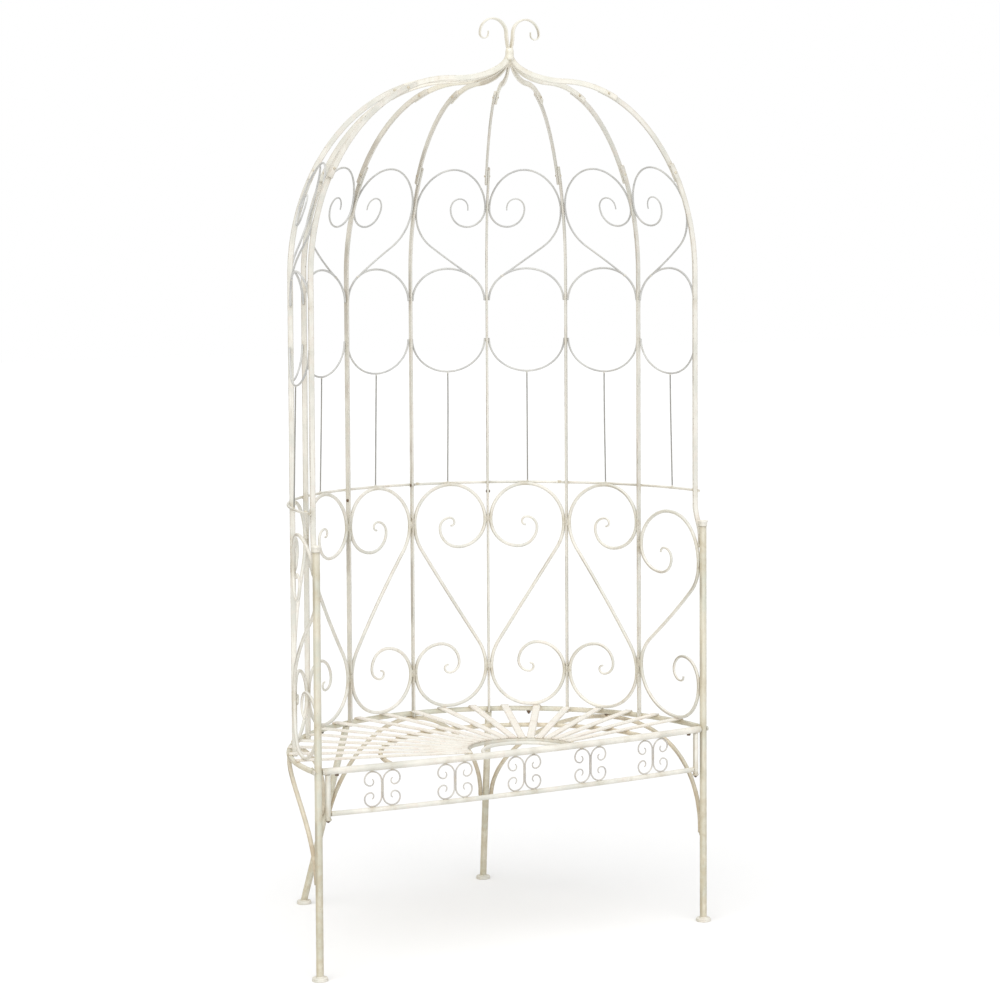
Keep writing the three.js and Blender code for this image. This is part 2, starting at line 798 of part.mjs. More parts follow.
// Half of an apron curl, from its middle up: a straight, ever tighter quarter turns and a short tail.
function halfCurl(reach, rise) {
  const pen = new Pen(0, 0, QUARTER).line(rise - reach * ornamentQuarters[0]);
  ornamentQuarters.forEach((share, i) => pen.arc(reach * share, -QUARTER, ornamentSteps[i]));
  return pen.arc(reach * ornamentTail, -ornamentTailTurn, tailSteps).points;
}

// The curls fill the space between the rails: welded to the lower one, just clear of the upper.
function ornamentOutline() {
  const low = apronHeight + apronDiameter / 2 - weldBite + ornamentWire / 2;
  const high = seatHeight - railDiameter / 2 - fitGap - ornamentWire / 2;
  const inset = (ornamentWire - ornamentOverlap) / 2;
  const upper = halfCurl(ornamentReach - inset, (high - low) / 2);
  const lower = upper.slice(1).map((p) => new THREE.Vector2(p.x, -p.y));
  const middle = new THREE.Vector2(inset, (high + low) / 2);
  return [...lower.reverse(), ...upper].map((p) => p.clone().add(middle));
}

function apron() {
  const group = new THREE.Group();
  const tubeX = postSpread - postRadius - apronEndGap - apronEndDiameter / 2;
  const half = tubeX - apronEndDiameter / 2 - fitGap;
  const points = spread(-half, half, railSteps).map((x) => new THREE.Vector3(x, bowY(x), apronHeight));
  const rail = bar(roundOutline(apronDiameter, hoopSides), points, UP, { first: ACROSS, last: ACROSS });
  const outline = ornamentOutline();
  const first = ornamentReach + ornamentEndRoom - half;
  const middles = spread(first, -first, ornamentCount - 1);
  const curls = middles.flatMap((at) =>
    sides.map(({ sign }) => {
      const path = outline.map((p) => {
        const x = at + sign * p.x;
        return new THREE.Vector3(x, bowY(x), p.y);
      });
      return bar(roundOutline(ornamentWire, wireSides), path, INWARD);
    }),
  );
  group.add(piece("apron_rail", joined([rail, ...curls]), cream));
  for (const { name, sign } of sides) {
    const ends = [apronHeight - apronEndDrop, seatHeight - railDiameter / 2 - fitGap].map(
      (z) => new THREE.Vector3(sign * tubeX, bowY(tubeX), z),
    );
    const tube = bar(roundOutline(apronEndDiameter, fineSides), ends, ACROSS);
    group.add(piece(`apron_end_${name}`, tube, cream));
  }
  return group;
}

// A leg arch springs from one leg, touches the underside of the rim and comes down on the next.
function legArch(name, from, to) {
  const top = uprightFoot - fitGap - archBar / 2;
  const middle = (from.angle + to.angle) / 2;
  const half = (to.angle - from.angle) / 2;
  const points = spread(0, HALF, legArchSteps).map((t) => {
    const foot = t < QUARTER ? from : to;
    const radius = rimRadius + (foot.radius - rimRadius) * (1 - Math.sin(t));
    const height = foot.height + (top - foot.height) * Math.sin(t);
    return polar(radius, middle - half * Math.cos(t), height);
  });
  return piece(name, bar(roundOutline(archBar, hoopSides), points, outwardAt), worn);
}

function legArches() {
  const group = new THREE.Group();
  const frontY = postBack + fitGap + archBar / 2;
  const front = {
    radius: Math.hypot(postSpread, frontY),
    angle: Math.atan2(frontY, postSpread),
    height: archFrontFoot,
  };
  const slope = legSplay / (legHead - legFoot);
  const legRadius = rimRadius + slope * (legHead - archBackFoot);
  const beside = Math.atan2(legDiameter / 2 + fitGap + archBar / 2, legRadius);
  const near = { radius: legRadius, angle: legAngle - beside, height: archBackFoot };
  const far = { radius: legRadius, angle: legAngle + beside, height: archBackFoot };
  const mirrored = (foot) => ({ ...foot, angle: HALF - foot.angle });
  group.add(legArch("leg_arch_right", front, near));
  group.add(legArch("leg_arch_back", far, mirrored(far)));
  group.add(legArch("leg_arch_left", mirrored(near), mirrored(front)));
  return group;
}

const frontMost = railMiddle.y - railDiameter / 2;
const backMost = legFootRadius * Math.sin(legAngle) + footDiameter / 2;

const seat = new THREE.Group();
seat.add(seatRim(), seatHoops(), seatSlats(), frontRail(), seatBolts());

const legs = new THREE.Group();
legs.add(frontPosts(), backLegs(), feet(), legArches(), apron());

const screen = new THREE.Group();
screen.add(uprights(), tieRing(), backScrolls(), hearts());

const dome = new THREE.Group();
dome.add(domeRibs(), crown());

const arbourSeat = new THREE.Group();
arbourSeat.add(seat, legs, screen, dome);
arbourSeat.position.y = -(frontMost + backMost) / 2;

export default arbourSeat;
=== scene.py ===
"""A garden arbour seat in old cream paint on wrought iron, dressed over its fixed frame.

Shapes are worked out in millimetres about the dome's upright axis on the ground, and are set into the
frame, in metres, when each mesh is made. Nearly every piece is a bar: an outline carried along a path.
"""
import math

import bpy
import numpy as np
from mathutils import Matrix


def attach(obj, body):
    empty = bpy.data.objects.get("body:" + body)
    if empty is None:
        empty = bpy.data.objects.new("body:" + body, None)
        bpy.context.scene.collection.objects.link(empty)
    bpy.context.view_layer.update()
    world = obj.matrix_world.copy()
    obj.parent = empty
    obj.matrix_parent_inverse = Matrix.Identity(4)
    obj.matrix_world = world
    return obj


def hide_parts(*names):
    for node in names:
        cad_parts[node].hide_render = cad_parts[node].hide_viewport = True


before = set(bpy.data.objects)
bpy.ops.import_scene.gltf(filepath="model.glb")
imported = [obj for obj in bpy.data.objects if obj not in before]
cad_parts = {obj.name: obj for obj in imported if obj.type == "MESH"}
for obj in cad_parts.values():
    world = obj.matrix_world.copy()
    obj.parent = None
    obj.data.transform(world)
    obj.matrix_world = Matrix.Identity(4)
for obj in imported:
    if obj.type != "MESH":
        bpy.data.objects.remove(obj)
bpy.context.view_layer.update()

# Whole seat, in millimetres
SEAT_HEIGHT = 450
POST_SPREAD = 490
POST_OUTSET = 5
BACK_RADIUS = POST_SPREAD - POST_OUTSET
BAY_COUNT = 8
FIT_GAP = 0.3
WELD_BITE = 0.5

# Uprights and dome
BAR_DEPTH = 12
BAR_THICKNESS = 5
SHOULDER_HEIGHT = 1500
DOME_RISE = 430
CROWN_RADIUS = 140
RIB_LAP_HEIGHT = 1712
RIB_LAP_LENGTH = 38
ARM_REACH = 275
ARM_LAP_LENGTH = 43
NECK_RADIUS = 3
NECK_RISE = 57
START_PULL_SHARE = 0.47
NECK_PULL_SHARE = 0.6
# Heights of the small bolts in the back uprights, by the upright's place in the row
SPLICE_HEIGHTS = {3: 979, 4: 999, 5: 976}
# Above this height the welds are stained less, and down the legs the paint turns tan
DRY_HEIGHT = 1020
LEG_TAN = 0.6
LEG_TAN_HEIGHT = 350
LEG_TAN_FADE = 90

# Finial
HUB_SKIN = 0.4
HUB_FOOT_DROP = 14
HUB_HEAD_RISE = 12
HUB_HEAD_RADIUS = 7.6
HUB_TAPER = 7
FINIAL_DEPTH = 12
FINIAL_THICKNESS = 4
STEM_SINK = 8
STEM_FOOT_SPREAD = 2
STEM_SPREAD = 8
STEM_RISE = 30
FINIAL_CURL_RADIUS = 33
FINIAL_TIP_RADIUS = 10.5
FINIAL_TAIL_LENGTH = 6

# Front posts and feet
POST_SETBACK = 25
POST_DIAMETER = 16
POST_TOP_DROP = 80
CAP_DIAMETER = 22.5
CAP_HEIGHT = 13.7
CAP_CLEARANCE = 1
FRONT_BEND_RISE = 80
FOOT_DIAMETER = 35
FOOT_THICKNESS = 8

# Back legs
LEG_DIAMETER = 16
LEG_SPLAY = 140.7
LEG_UPRIGHT = 3

# Tie ring with its wires and loops
TIE_HEIGHT = 1000
TIE_BAR = 6
TIE_WIRE = 3
LOOP_WIRE = 4.5
LOOP_OFFSET = 3
LOOP_TOP_HEIGHT = 1347
LOOP_DROP = 79

# Back scrolls
SCROLL_BAR = 8
SCROLL_TIP_SHARE = 0.56
SCROLL_TOP_DROP = 3
FRONT_SCROLL_TOP_DROP = 55
TAIL_TURN = 5 * math.pi / 9
# The arcs of a scroll against half the width that it fills: beside its straight, the quarter turns of
# the coil, and the tail
BAY_COIL = (1.33, (1.04, 0.96, 0.74, 0.52, 0.28, 0.13), 0.09)
FRONT_COIL = (0.85, (1.15, 0.85, 0.62, 0.34, 0.25), 0.1)

# Hearts
ARCH_WIRE = 5
ARCH_FOOT_HEIGHT = 1437
ARCH_RISE = 76
HEART_WIRE = 4.5
HEART_LOOP_HEIGHT = 1656
HEART_EVEN_INSET = 0.6
HEART_LEAVE = math.radians(35)
HEART_INNER_SHARE = 0.49
HEART_CORE_SHARE = 0.247
HEART_TAIL_LENGTH = 5

# Seat
RAIL_DIAMETER = 15
RAIL_BOW = 26
RIM_BAR = 12
MID_HOOP_RADIUS = 318
MID_HOOP_BAR = 10
INNER_HOOP_RADIUS = 130
INNER_HOOP_BAR = 10
INNERMOST_HOOP_RADIUS = 92
INNERMOST_HOOP_BAR = 8
SLAT_COUNT = 19
SLAT_WIDTH = 18
SLAT_THICKNESS = 3.5
SLAT_OVERRUN = 2.7

# Seat bolts and small fasteners
BOLT_HEAD_WIDTH = 10
BOLT_HEAD_HEIGHT = 4
SMALL_BOLT_WIDTH = 4.6
SMALL_BOLT_HEIGHT = 1.6

# Nuts under the seat: the washer's width, the nut's width and height, the thread's width, how far down
# it starts, and its length, with 0 where there is no washer or thread
ARCH_NUT = (0, 7.5, 3.6, 0, 0, 0)
TUBE_NUT = (0, 8, 2.8, 4.6, 2.6, 2.2)
RAIL_NUT = (10, 8, 3.4, 0, 0, 0)
RIM_NUT = (11, 8.5, 4.2, 4.8, 4.8, 3.2)
WASHER_DROP = 0.9

# Half sizes of the weld beads: along the bead, outwards and sideways
BEADS = {
    "ring": (4.4, 2.2, 2), "rim": (4.5, 3, 2), "scroll": (9, 2.0, 1.7), "wire_end": (3.6, 1.6, 1.0),
    "wire_foot": (3.4, 2.2, 2.2), "cup": (3.0, 2.0, 2.0), "heart": (4.0, 2.8, 2.8),
    "scroll_top": (6.5, 2, 2), "slat": (3.6, 1.5, 1.7), "hoop": (6, 3.4, 2), "curl": (4.0, 1.5, 1.7),
    "curl_pair": (9, 1.5, 1.3), "arch_foot": (12, 3.2, 3.6), "arch_top": (9, 2.6, 2.2),
    "leg_head": (7, 3, 4), "rim_end": (5, 3, 3), "post_lap": (9, 4.2, 1.8), "rail_end": (5.5, 2.6, 2.4),
    "apron_end": (4.5, 2.4, 2.2),
}

# Apron under the front rail
APRON_DROP = 92
APRON_DIAMETER = 11
APRON_END_DIAMETER = 12
APRON_END_GAP = 8
APRON_END_DROP = 15
ORNAMENT_COUNT = 5
ORNAMENT_END_ROOM = 76.5
ORNAMENT_WIRE = 3.5
ORNAMENT_REACH = 41
ORNAMENT_OVERLAP = 0.4
ORNAMENT_QUARTERS = (0.56, 0.44, 0.33, 0.2)
ORNAMENT_TAIL = 0.18
ORNAMENT_TAIL_TURN = math.pi / 3

# Leg arches
ARCH_BAR = 10
ARCH_FRONT_FOOT = 205
ARCH_BACK_FOOT = 225

# How finely things are drawn
STEP = 4.0
FINE_STEP = 1.6
EDGE_SOFTNESS = 1.1
SHARP_ANGLE = math.radians(48)
SEED = 41

QUARTER = math.pi / 2
HALF = math.pi
UP = np.array([0.0, 0.0, 1.0])
ACROSS = np.array([1.0, 0.0, 0.0])
INWARD = np.array([0.0, 1.0, 0.0])
METRE = 1000.0
SIDES = {"left": -1, "right": 1}

# Values that follow from the sizes
BAY_ANGLE = HALF / BAY_COUNT
POST_RADIUS = POST_DIAMETER / 2
POST_TOP = TIE_HEIGHT - POST_TOP_DROP
APRON_HEIGHT = SEAT_HEIGHT - APRON_DROP
UPRIGHT_FOOT = SEAT_HEIGHT - RIM_BAR / 2
HOOP_TOP = SEAT_HEIGHT + RIM_BAR / 2
SLAT_TOP = HOOP_TOP + FIT_GAP + SLAT_THICKNESS
DOME_TOP = SHOULDER_HEIGHT + DOME_RISE
RIM_RADIUS = BACK_RADIUS + BAR_DEPTH / 2 + FIT_GAP + RIM_BAR / 2
TIE_RADIUS = BACK_RADIUS + BAR_DEPTH / 2 + FIT_GAP + TIE_BAR / 2
LEG_ANGLE = LEG_UPRIGHT * BAY_ANGLE
LEG_FOOT_RADIUS = RIM_RADIUS + LEG_SPLAY
LEG_HEAD = UPRIGHT_FOOT - FIT_GAP
LEG_FOOT = FOOT_THICKNESS + FIT_GAP
RAIL_HALF = POST_SPREAD - POST_RADIUS - FIT_GAP
RAIL_BOW_RADIUS = (RAIL_HALF**2 + RAIL_BOW**2) / (2 * RAIL_BOW)
RAIL_MIDDLE_Y = -POST_SETBACK - RAIL_BOW
BOW_CENTRE_Y = RAIL_MIDDLE_Y + RAIL_BOW_RADIUS
POST_BACK = -POST_SETBACK + POST_RADIUS
LAP_Y = POST_BACK + FIT_GAP + BAR_THICKNESS / 2
RIB_OFFSET = BAR_THICKNESS + FIT_GAP
FRONT_MOST = RAIL_MIDDLE_Y - RAIL_DIAMETER / 2
BACK_MOST = LEG_FOOT_RADIUS * math.sin(LEG_ANGLE) + FOOT_DIAMETER / 2
AXIS_Y = -(FRONT_MOST + BACK_MOST) / 2

draw = np.random.default_rng(SEED)


def polar(radius, angle, height, sideways=0.0):
    """Points at a radius and an angle round the dome axis, moved sideways along the tangent there."""
    radius, angle, height, sideways = np.broadcast_arrays(radius, angle, height, sideways)
    x = radius * np.cos(angle) - sideways * np.sin(angle)
    y = radius * np.sin(angle) + sideways * np.cos(angle)
    return np.stack([x, y, height], axis=-1).astype(float)


def tangent_at(angle):
    """The level direction along the circle at an angle: the radius turned by a quarter."""
    return np.array([-math.sin(angle), math.cos(angle), 0.0])


def unit(vectors):
    """Vectors divided by their lengths."""
    vectors = np.asarray(vectors, float)
    return vectors / np.linalg.norm(vectors, axis=-1, keepdims=True)


def outward(points):
    """The level direction away from the dome axis, at each point."""
    return unit(points * [1, 1, 0])


def bow_y(x):
    """How far in front of the dome axis the bowed rails are: a circle through their ends and middle."""
    return BOW_CENTRE_Y - np.sqrt(RAIL_BOW_RADIUS**2 - np.asarray(x, float) ** 2)


def trace(place, heading, moves, step=FINE_STEP):
    """Straight lines and arcs laid end to end: a move is a length with no turn, or a radius with a turn,
    and an arc's points lie at the radius round the centre that stands square to the heading."""
    runs = [np.array([place], float)]
    for size, turn in moves:
        start = runs[-1][-1]
        if turn == 0:
            count = max(1, math.ceil(abs(size) / step))
            reach = np.linspace(0, size, count + 1)[1:, None]
            runs.append(start + reach * [math.cos(heading), math.sin(heading)])
            continue
        toward = heading + math.copysign(QUARTER, turn)
        centre = start + size * np.array([math.cos(toward), math.sin(toward)])
        count = max(6, math.ceil(size * abs(turn) / step))
        angle = toward - HALF + np.linspace(0, turn, count + 1)[1:]
        runs.append(centre + size * np.stack([np.cos(angle), np.sin(angle)], -1))
        heading += turn
    return np.concatenate(runs)


class Section:
    """An outline whose points lie at a reach from core points, each in its own direction, so that a
    smaller reach draws the outline in evenly. Rub is how much each point is an edge that wears."""

    def __init__(self, core, direction, reach, rub):
        self.core, self.direction, self.reach, self.rub = core, direction, reach, rub

    def at(self, inset, scale):
        """The outline at each station: core point plus direction times the reach less the inset."""
        reach = (self.reach - inset)[:, None, None]
        return (self.core[None] + self.direction[None] * reach) * scale[:, None, None]


def round_section(diameter, sides=16):
    """A circle of that diameter."""
    turn = np.linspace(0, 2 * HALF, sides, endpoint=False)
    ring = np.stack([np.cos(turn), np.sin(turn)], -1)
    return Section(np.zeros((sides, 2)), ring, diameter / 2, np.zeros(sides))


def flat_section(across, along, corner=EDGE_SOFTNESS):
    """A rectangle with quarter-circle corners, and further points along its faces, most on the longer."""
    half = np.array([across, along]) / 2 - corner
    signs = np.array([(1, -1), (1, 1), (-1, 1), (-1, -1)])
    core, turns, rub = [], [], []
    for i, sign in enumerate(signs):
        start = math.atan2(sign[1], sign[0]) - QUARTER / 2
        shares = (0.14, 0.5, 0.86) if (i % 2 == 0) == (across <= along) else (0.5,)
        way = (signs[(i + 1) % 4] - sign) * half
        core += [sign * half] * 3 + [sign * half + way * share for share in shares]
        turns += [start, start + QUARTER / 2] + [start + QUARTER] * (1 + len(shares))
        rub += [1.0] * 3 + [0.0] * len(shares)
    return Section(np.array(core), np.stack([np.cos(turns), np.sin(turns)], -1), corner, np.array(rub))


class Surface:
    """Points, the corners of every face in turn with the size of each face, the place of each point in
    its bar as if the bar were straight, and how much each point rubs bare."""

    def __init__(self, points, corners, sizes, grain, rub):
        self.points, self.corners, self.sizes, self.grain, self.rub = points, corners, sizes, grain, rub


def skin(points, grain, rub, closed=False):
    """Closes rings of points into a tube: neighbours on two rings make a quad, and each end is one face."""
    rings, sides = points.shape[:2]
    index = np.arange(rings * sides).reshape(rings, sides)
    beside = np.roll(index, -1, axis=1)
    if closed:
        upper, upper_beside = np.roll(index, -1, axis=0), np.roll(beside, -1, axis=0)
        lower, lower_beside = index, beside
    else:
        lower, lower_beside, upper, upper_beside = index[:-1], beside[:-1], index[1:], beside[1:]
    quads = np.stack([lower, lower_beside, upper_beside, upper], -1).reshape(-1)
    sizes = np.full(len(quads) // 4, 4)
    if not closed:
        quads = np.concatenate([quads, index[0][::-1], index[-1]])
        sizes = np.concatenate([sizes, [sides, sides]])
    return Surface(points.reshape(-1, 3), quads, sizes, grain.reshape(-1, 3), rub.reshape(-1))


def ripple(run, turn, amount, length):
    """Slow unevenness of hand-worked metal: four sine waves along the bar, two of them wound round it."""
    phase = draw.uniform(0, 2 * HALF, 4)
    stretch = draw.uniform(0.7, 1.4, 4) * 2 * HALF / length
    wound = np.array([0, 1, 2, 3])
    waves = [np.sin(run * k + turn * w + p) for k, w, p in zip(stretch, wound, phase)]
    return amount * sum(waves) / len(waves)


def between(place, run, rows):
    """Rows known at each run, worked out at other places on the straight lines between them."""
    return np.stack([np.interp(place, run, column) for column in rows.T], -1)


def bar(path, side, section, step=STEP, soft=0.8, first=None, last=None, taper=None, uneven=0.16):
    """A bar: its outline carried along a path. A point is the path's point, plus the outline's first
    number along the side direction and its second along tangent cross side. The ends are rounded by
    drawing the outline in along a quarter circle, and taper scales it by a function of the run."""
    path = np.asarray(path, float)
    gaps = np.linalg.norm(np.diff(path, axis=0), axis=1)
    run = np.concatenate([[0], np.cumsum(gaps)])
    length = run[-1]
    turn = np.linspace(0, QUARTER, 4)[:-1]
    lead, inset = soft * (1 - np.cos(turn)), soft * (1 - np.sin(turn))
    count = max(2, math.ceil((length - 2 * soft) / step) + 1)
    body = np.linspace(soft, length - soft, count)
    at = np.concatenate([lead, body, length - lead[::-1]])
    inset = np.concatenate([inset, np.zeros(count), inset[::-1]])
    along = unit(np.diff(path, axis=0))
    bends = unit(along[:-1] + along[1:])
    ways = np.concatenate([along[:1], bends, along[-1:]])
    if len(path) == 2:
        middle = run[:1] + length / 2
        run, path = np.insert(run, 1, middle), np.insert(path, 1, path.mean(0), axis=0)
        ways = np.insert(ways, 1, along[0], axis=0)
    near = min(length / 3, 3 * section.reach + 4)
    for end, place, way in ((0, near, first), (-1, length - near, last)):
        if way is not None:
            spot = int(np.searchsorted(run, place))
            extra, heading = between(place, run, path), between(place, run, ways)
            run, path = np.insert(run, spot, place), np.insert(path, spot, extra, axis=0)
            ways = np.insert(ways, spot, heading, axis=0)
            ways[end] = way
    centre, forward = between(at, run, path), unit(between(at, run, ways))
    across = side(centre) if callable(side) else np.broadcast_to(side, centre.shape)
    normal = unit(across - forward * (across * forward).sum(-1, keepdims=True))
    binormal = np.cross(forward, normal)
    scale = np.ones(len(at)) if taper is None else taper(at, length)
    outline = section.at(inset, scale)
    sides = outline.shape[1]
    round_turn = np.arctan2(section.direction[:, 1], section.direction[:, 0])
    swell = ripple(at[:, None], round_turn[None], uneven, 34.0)
    outline = outline + section.direction[None] * swell[..., None]
    points = centre[:, None] + normal[:, None] * outline[..., :1] + binormal[:, None] * outline[..., 1:]
    offset = draw.uniform(0, METRE, 3)
    straight = np.concatenate([np.broadcast_to(at[:, None, None], (len(at), sides, 1)), outline], -1)
    ends = np.clip(1 - np.minimum(at, length - at) / 3, 0, 1)[:, None]
    rub = np.maximum(np.broadcast_to(section.rub[None], (len(at), sides)), ends)
    return skin(points, straight + offset, rub)


def turned(profile, foot, axis=UP, sides=32, uneven=0.05):
    """A turned piece: radius and height pairs spun round an axis from its foot."""
    profile = np.asarray(profile, float)
    axis = unit(axis)
    spare = ACROSS if abs(axis[0]) < 0.9 else INWARD
    normal = unit(spare - axis * (spare @ axis))
    binormal = np.cross(axis, normal)
    turn = np.linspace(0, 2 * HALF, sides, endpoint=False)
    ring = np.cos(turn)[:, None] * normal + np.sin(turn)[:, None] * binormal
    radius = profile[:, :1] + ripple(profile[:, 1:], turn[None], uneven, 12.0)
    points = np.asarray(foot) + profile[:, None, 1:] * axis + radius[..., None] * ring
    local = np.stack([np.broadcast_to(profile[:, 1:], radius.shape), radius * np.cos(turn),
                      radius * np.sin(turn)], -1)
    bend = np.abs(np.gradient(np.arctan2(np.gradient(profile[:, 0]), np.gradient(profile[:, 1]))))
    rub = np.broadcast_to(np.clip(bend, 0, 1)[:, None], radius.shape)
    return skin(points, local + draw.uniform(0, METRE, 3), rub)


def pulled(pulls, share):
    """A Bezier curve: each pull times its binomial count and its powers of the share and the rest."""
    last, share = len(pulls) - 1, share[:, None]
    terms = [math.comb(last, i) * share**i * (1 - share) ** (last - i) for i in range(last + 1)]
    return sum(term * np.asarray(pull, float) for term, pull in zip(terms, pulls))


def rounded(profile, reach):
    """A profile whose inner corners are replaced by four points of a quadratic curve."""
    profile = np.asarray(profile, float)
    rows = [profile[:1]]
    for before, corner, after in zip(profile[:-2], profile[1:-1], profile[2:]):
        ways = [before - corner, after - corner]
        start, end = [corner + min(reach, 0.45 * np.linalg.norm(w)) * unit(w) for w in ways]
        rows.append(pulled((start, corner, end), np.array([0, 0.33, 0.67, 1])))
    rows.append(profile[-1:])
    return np.concatenate(rows)


def bead(place, along, up, size):
    """A bead of weld: an ellipsoid of given half sizes, pushed in and out by three random waves."""
    along = unit(along)
    up = unit(np.asarray(up, float) - along * (np.asarray(up, float) @ along))
    rise = np.linspace(0.12, HALF - 0.12, 8)[:, None]
    turn = np.linspace(0, 2 * HALF, 12, endpoint=False)[None]
    round_x, round_y = np.sin(rise) * np.cos(turn), np.sin(rise) * np.sin(turn)
    shape = np.stack([-np.cos(rise) + 0 * turn, round_x, round_y], -1)
    phase = draw.uniform(0, 2 * HALF, 3)
    lumps = sum(np.sin(shape @ draw.normal(0, 2.4, 3) + p) for p in phase)
    local = shape * (1 + 0.07 * lumps[..., None]) * np.asarray(size, float)
    points = np.asarray(place) + local @ np.stack([along, up, np.cross(up, along)])
    return skin(points, local + draw.uniform(0, METRE, 3), np.zeros(points.shape[:2]))


def hexagon(width, corner=0.7):
    """Six corners of short arcs, a given width across the flats."""
    middles = np.arange(6) * HALF / 3
    turns = (middles[:, None] + np.array([-1, 0, 1]) * HALF / 6).ravel()
    spots = (width / 2 - corner) / math.cos(HALF / 6) * np.stack([np.cos(middles), np.sin(middles)], -1)
    ways = np.stack([np.cos(turns), np.sin(turns)], -1)
    return Section(np.repeat(spots, 3, axis=0), ways, corner, np.ones(18))


def hex_head(place, axis, width, height):
    """A bolt head or nut: a hexagon along its axis, its outer end drawn in to a low dome."""
    axis = unit(axis)
    spare = UP if abs(axis[2]) < 0.9 else ACROSS
    path = np.asarray(place) + np.linspace(0, height, 3)[:, None] * axis
    crown_turn = draw.uniform(0, HALF / 3)
    other = np.cross(axis, spare)
    side = spare * math.cos(crown_turn) + other * math.sin(crown_turn)
    return bar(path, side, hexagon(width), step=height, soft=0.65, uneven=0.03)


def washer(place, axis, diameter, thickness=1.1):
    """A flat ring: a rectangle with rounded corners, spun round its axis."""
    profile = [[0.4, 0], [diameter / 2, 0], [diameter / 2, thickness], [0.4, thickness]]
    return turned(rounded(profile, 0.35), place, axis, 24)


def thread_end(place, axis, diameter, length):
    """The end of a bolt past its nut: rings whose radius goes in and out with each turn of thread."""
    height = np.linspace(0, length, max(5, int(length / 0.4)))
    radius = diameter / 2 + 0.22 * np.cos(height * 2 * HALF / 1.0)
    radius[-1] = diameter / 2 - 0.6
    return turned(np.stack([radius, height], -1), place, axis, 16, uneven=0.0)


def through_bolt(middle, axis, grip, width=SMALL_BOLT_WIDTH, height=SMALL_BOLT_HEIGHT):
    """A small bolt through a lap: head and washer on one face, washer, nut and thread end on the other."""
    axis = unit(axis)
    head = np.asarray(middle) - axis * (grip / 2 - 0.1)
    foot = np.asarray(middle) + axis * (grip / 2 - 0.1)
    return [
        washer(head, -axis, width * 1.35),
        turned(rounded([[width * 0.55, 0.9], [width * 0.52, 1.4], [width * 0.3, 2.2], [0.3, 2.5]], 0.6),
               head, -axis, 20),
        washer(foot, axis, width * 1.3),
        hex_head(foot + axis, axis, width, height),
        thread_end(foot + axis * height, axis, width * 0.55, 1.4),
    ]


# Dome profile


def dome_radius(height):
    """Straight up to the shoulder, then a quarter ellipse in to the crown."""
    climb = np.clip((np.asarray(height, float) - SHOULDER_HEIGHT) / DOME_RISE, 0, 1)
    return CROWN_RADIUS + (BACK_RADIUS - CROWN_RADIUS) * np.sqrt(1 - climb**2)


def dome_stretch(start, end, step=STEP):
    """Radius and height along the quarter ellipse between two values of its turn."""
    count = max(2, math.ceil(abs(end - start) * DOME_RISE / step))
    turn = np.linspace(start, end, count + 1)
    radius = CROWN_RADIUS + (BACK_RADIUS - CROWN_RADIUS) * np.cos(turn)
    return np.stack([radius, SHOULDER_HEIGHT + DOME_RISE * np.sin(turn)], -1)


def turn_at_height(height):
    """The turn of the quarter ellipse at a height, from its sine."""
    return math.asin((height - SHOULDER_HEIGHT) / DOME_RISE)


def turn_at_radius(radius):
    """The turn of the quarter ellipse at a radius, from its cosine."""
    return math.acos((radius - CROWN_RADIUS) / (BACK_RADIUS - CROWN_RADIUS))


# Where the back scrolls stand

POST_REACH = math.hypot(POST_SPREAD, POST_SETBACK)
POST_TOUCH = POST_RADIUS + FIT_GAP + SCROLL_BAR / 2
POST_CONTACT = math.acos(
    (BACK_RADIUS**2 + POST_REACH**2 - POST_TOUCH**2) / (2 * BACK_RADIUS * POST_REACH)
) - math.atan2(POST_SETBACK, POST_SPREAD)
UPRIGHT_CONTACT = (BAR_THICKNESS / 2 + FIT_GAP + SCROLL_BAR / 2) / BACK_RADIUS
SCROLL_BOTTOM = SLAT_TOP + FIT_GAP + SCROLL_BAR / 2


def scroll_space(bay):
    """The middle angle, half width and top of the space that a back scroll fills, and its coil."""
    first, last = bay == 0, bay == BAY_COUNT - 1
    start = POST_CONTACT if first else bay * BAY_ANGLE + UPRIGHT_CONTACT
    end = HALF - POST_CONTACT if last else (bay + 1) * BAY_ANGLE - UPRIGHT_CONTACT
    top = TIE_HEIGHT - (FRONT_SCROLL_TOP_DROP if first or last else SCROLL_TOP_DROP)
    coil = FRONT_COIL if first or last else BAY_COIL
    return (start + end) / 2, (end - start) / 2 * BACK_RADIUS, top, coil


FRONT_MIDDLE, FRONT_HALF, FRONT_TOP, _ = scroll_space(0)
FRONT_CURVE = FRONT_HALF * FRONT_COIL[1][0]
SCROLL_OUTER = FRONT_CURVE + SCROLL_BAR / 2 + FIT_GAP
LAP_REACH = FRONT_MIDDLE * BACK_RADIUS + FRONT_CURVE - FRONT_HALF - (LAP_Y + BAR_THICKNESS / 2)
FRONT_FOOT = FRONT_TOP - FRONT_CURVE + math.sqrt(SCROLL_OUTER**2 - LAP_REACH**2) + FIT_GAP
LAP_TO_CAP = (CAP_DIAMETER / 2 + CAP_CLEARANCE - POST_RADIUS - FIT_GAP) / -LAP_Y
FRONT_BEND_FOOT = POST_TOP - math.acos(1 - 2 * LAP_TO_CAP) / HALF * FRONT_BEND_RISE


def even_side(bay):
    """Panels lean alternately: the sign of the side of a bay that holds the even upright."""
    return -1 if bay % 2 == 0 else 1


def rolled(points, middle, sign, radius_at):
    """A flat drawing rolled on to the dome: across becomes an angle, up stays up."""
    return polar(radius_at(points[:, 1]), middle + sign * points[:, 0] / BACK_RADIUS, points[:, 1])


def bay_reach(radius, wire):
    """Half the width of a bay for a wire's middle: half the bay's arc, less half the upright and the
    wire."""
    return BACK_RADIUS * (BAY_ANGLE / 2 - (BAR_THICKNESS / 2 + FIT_GAP + wire / 2) / radius)


# Pieces


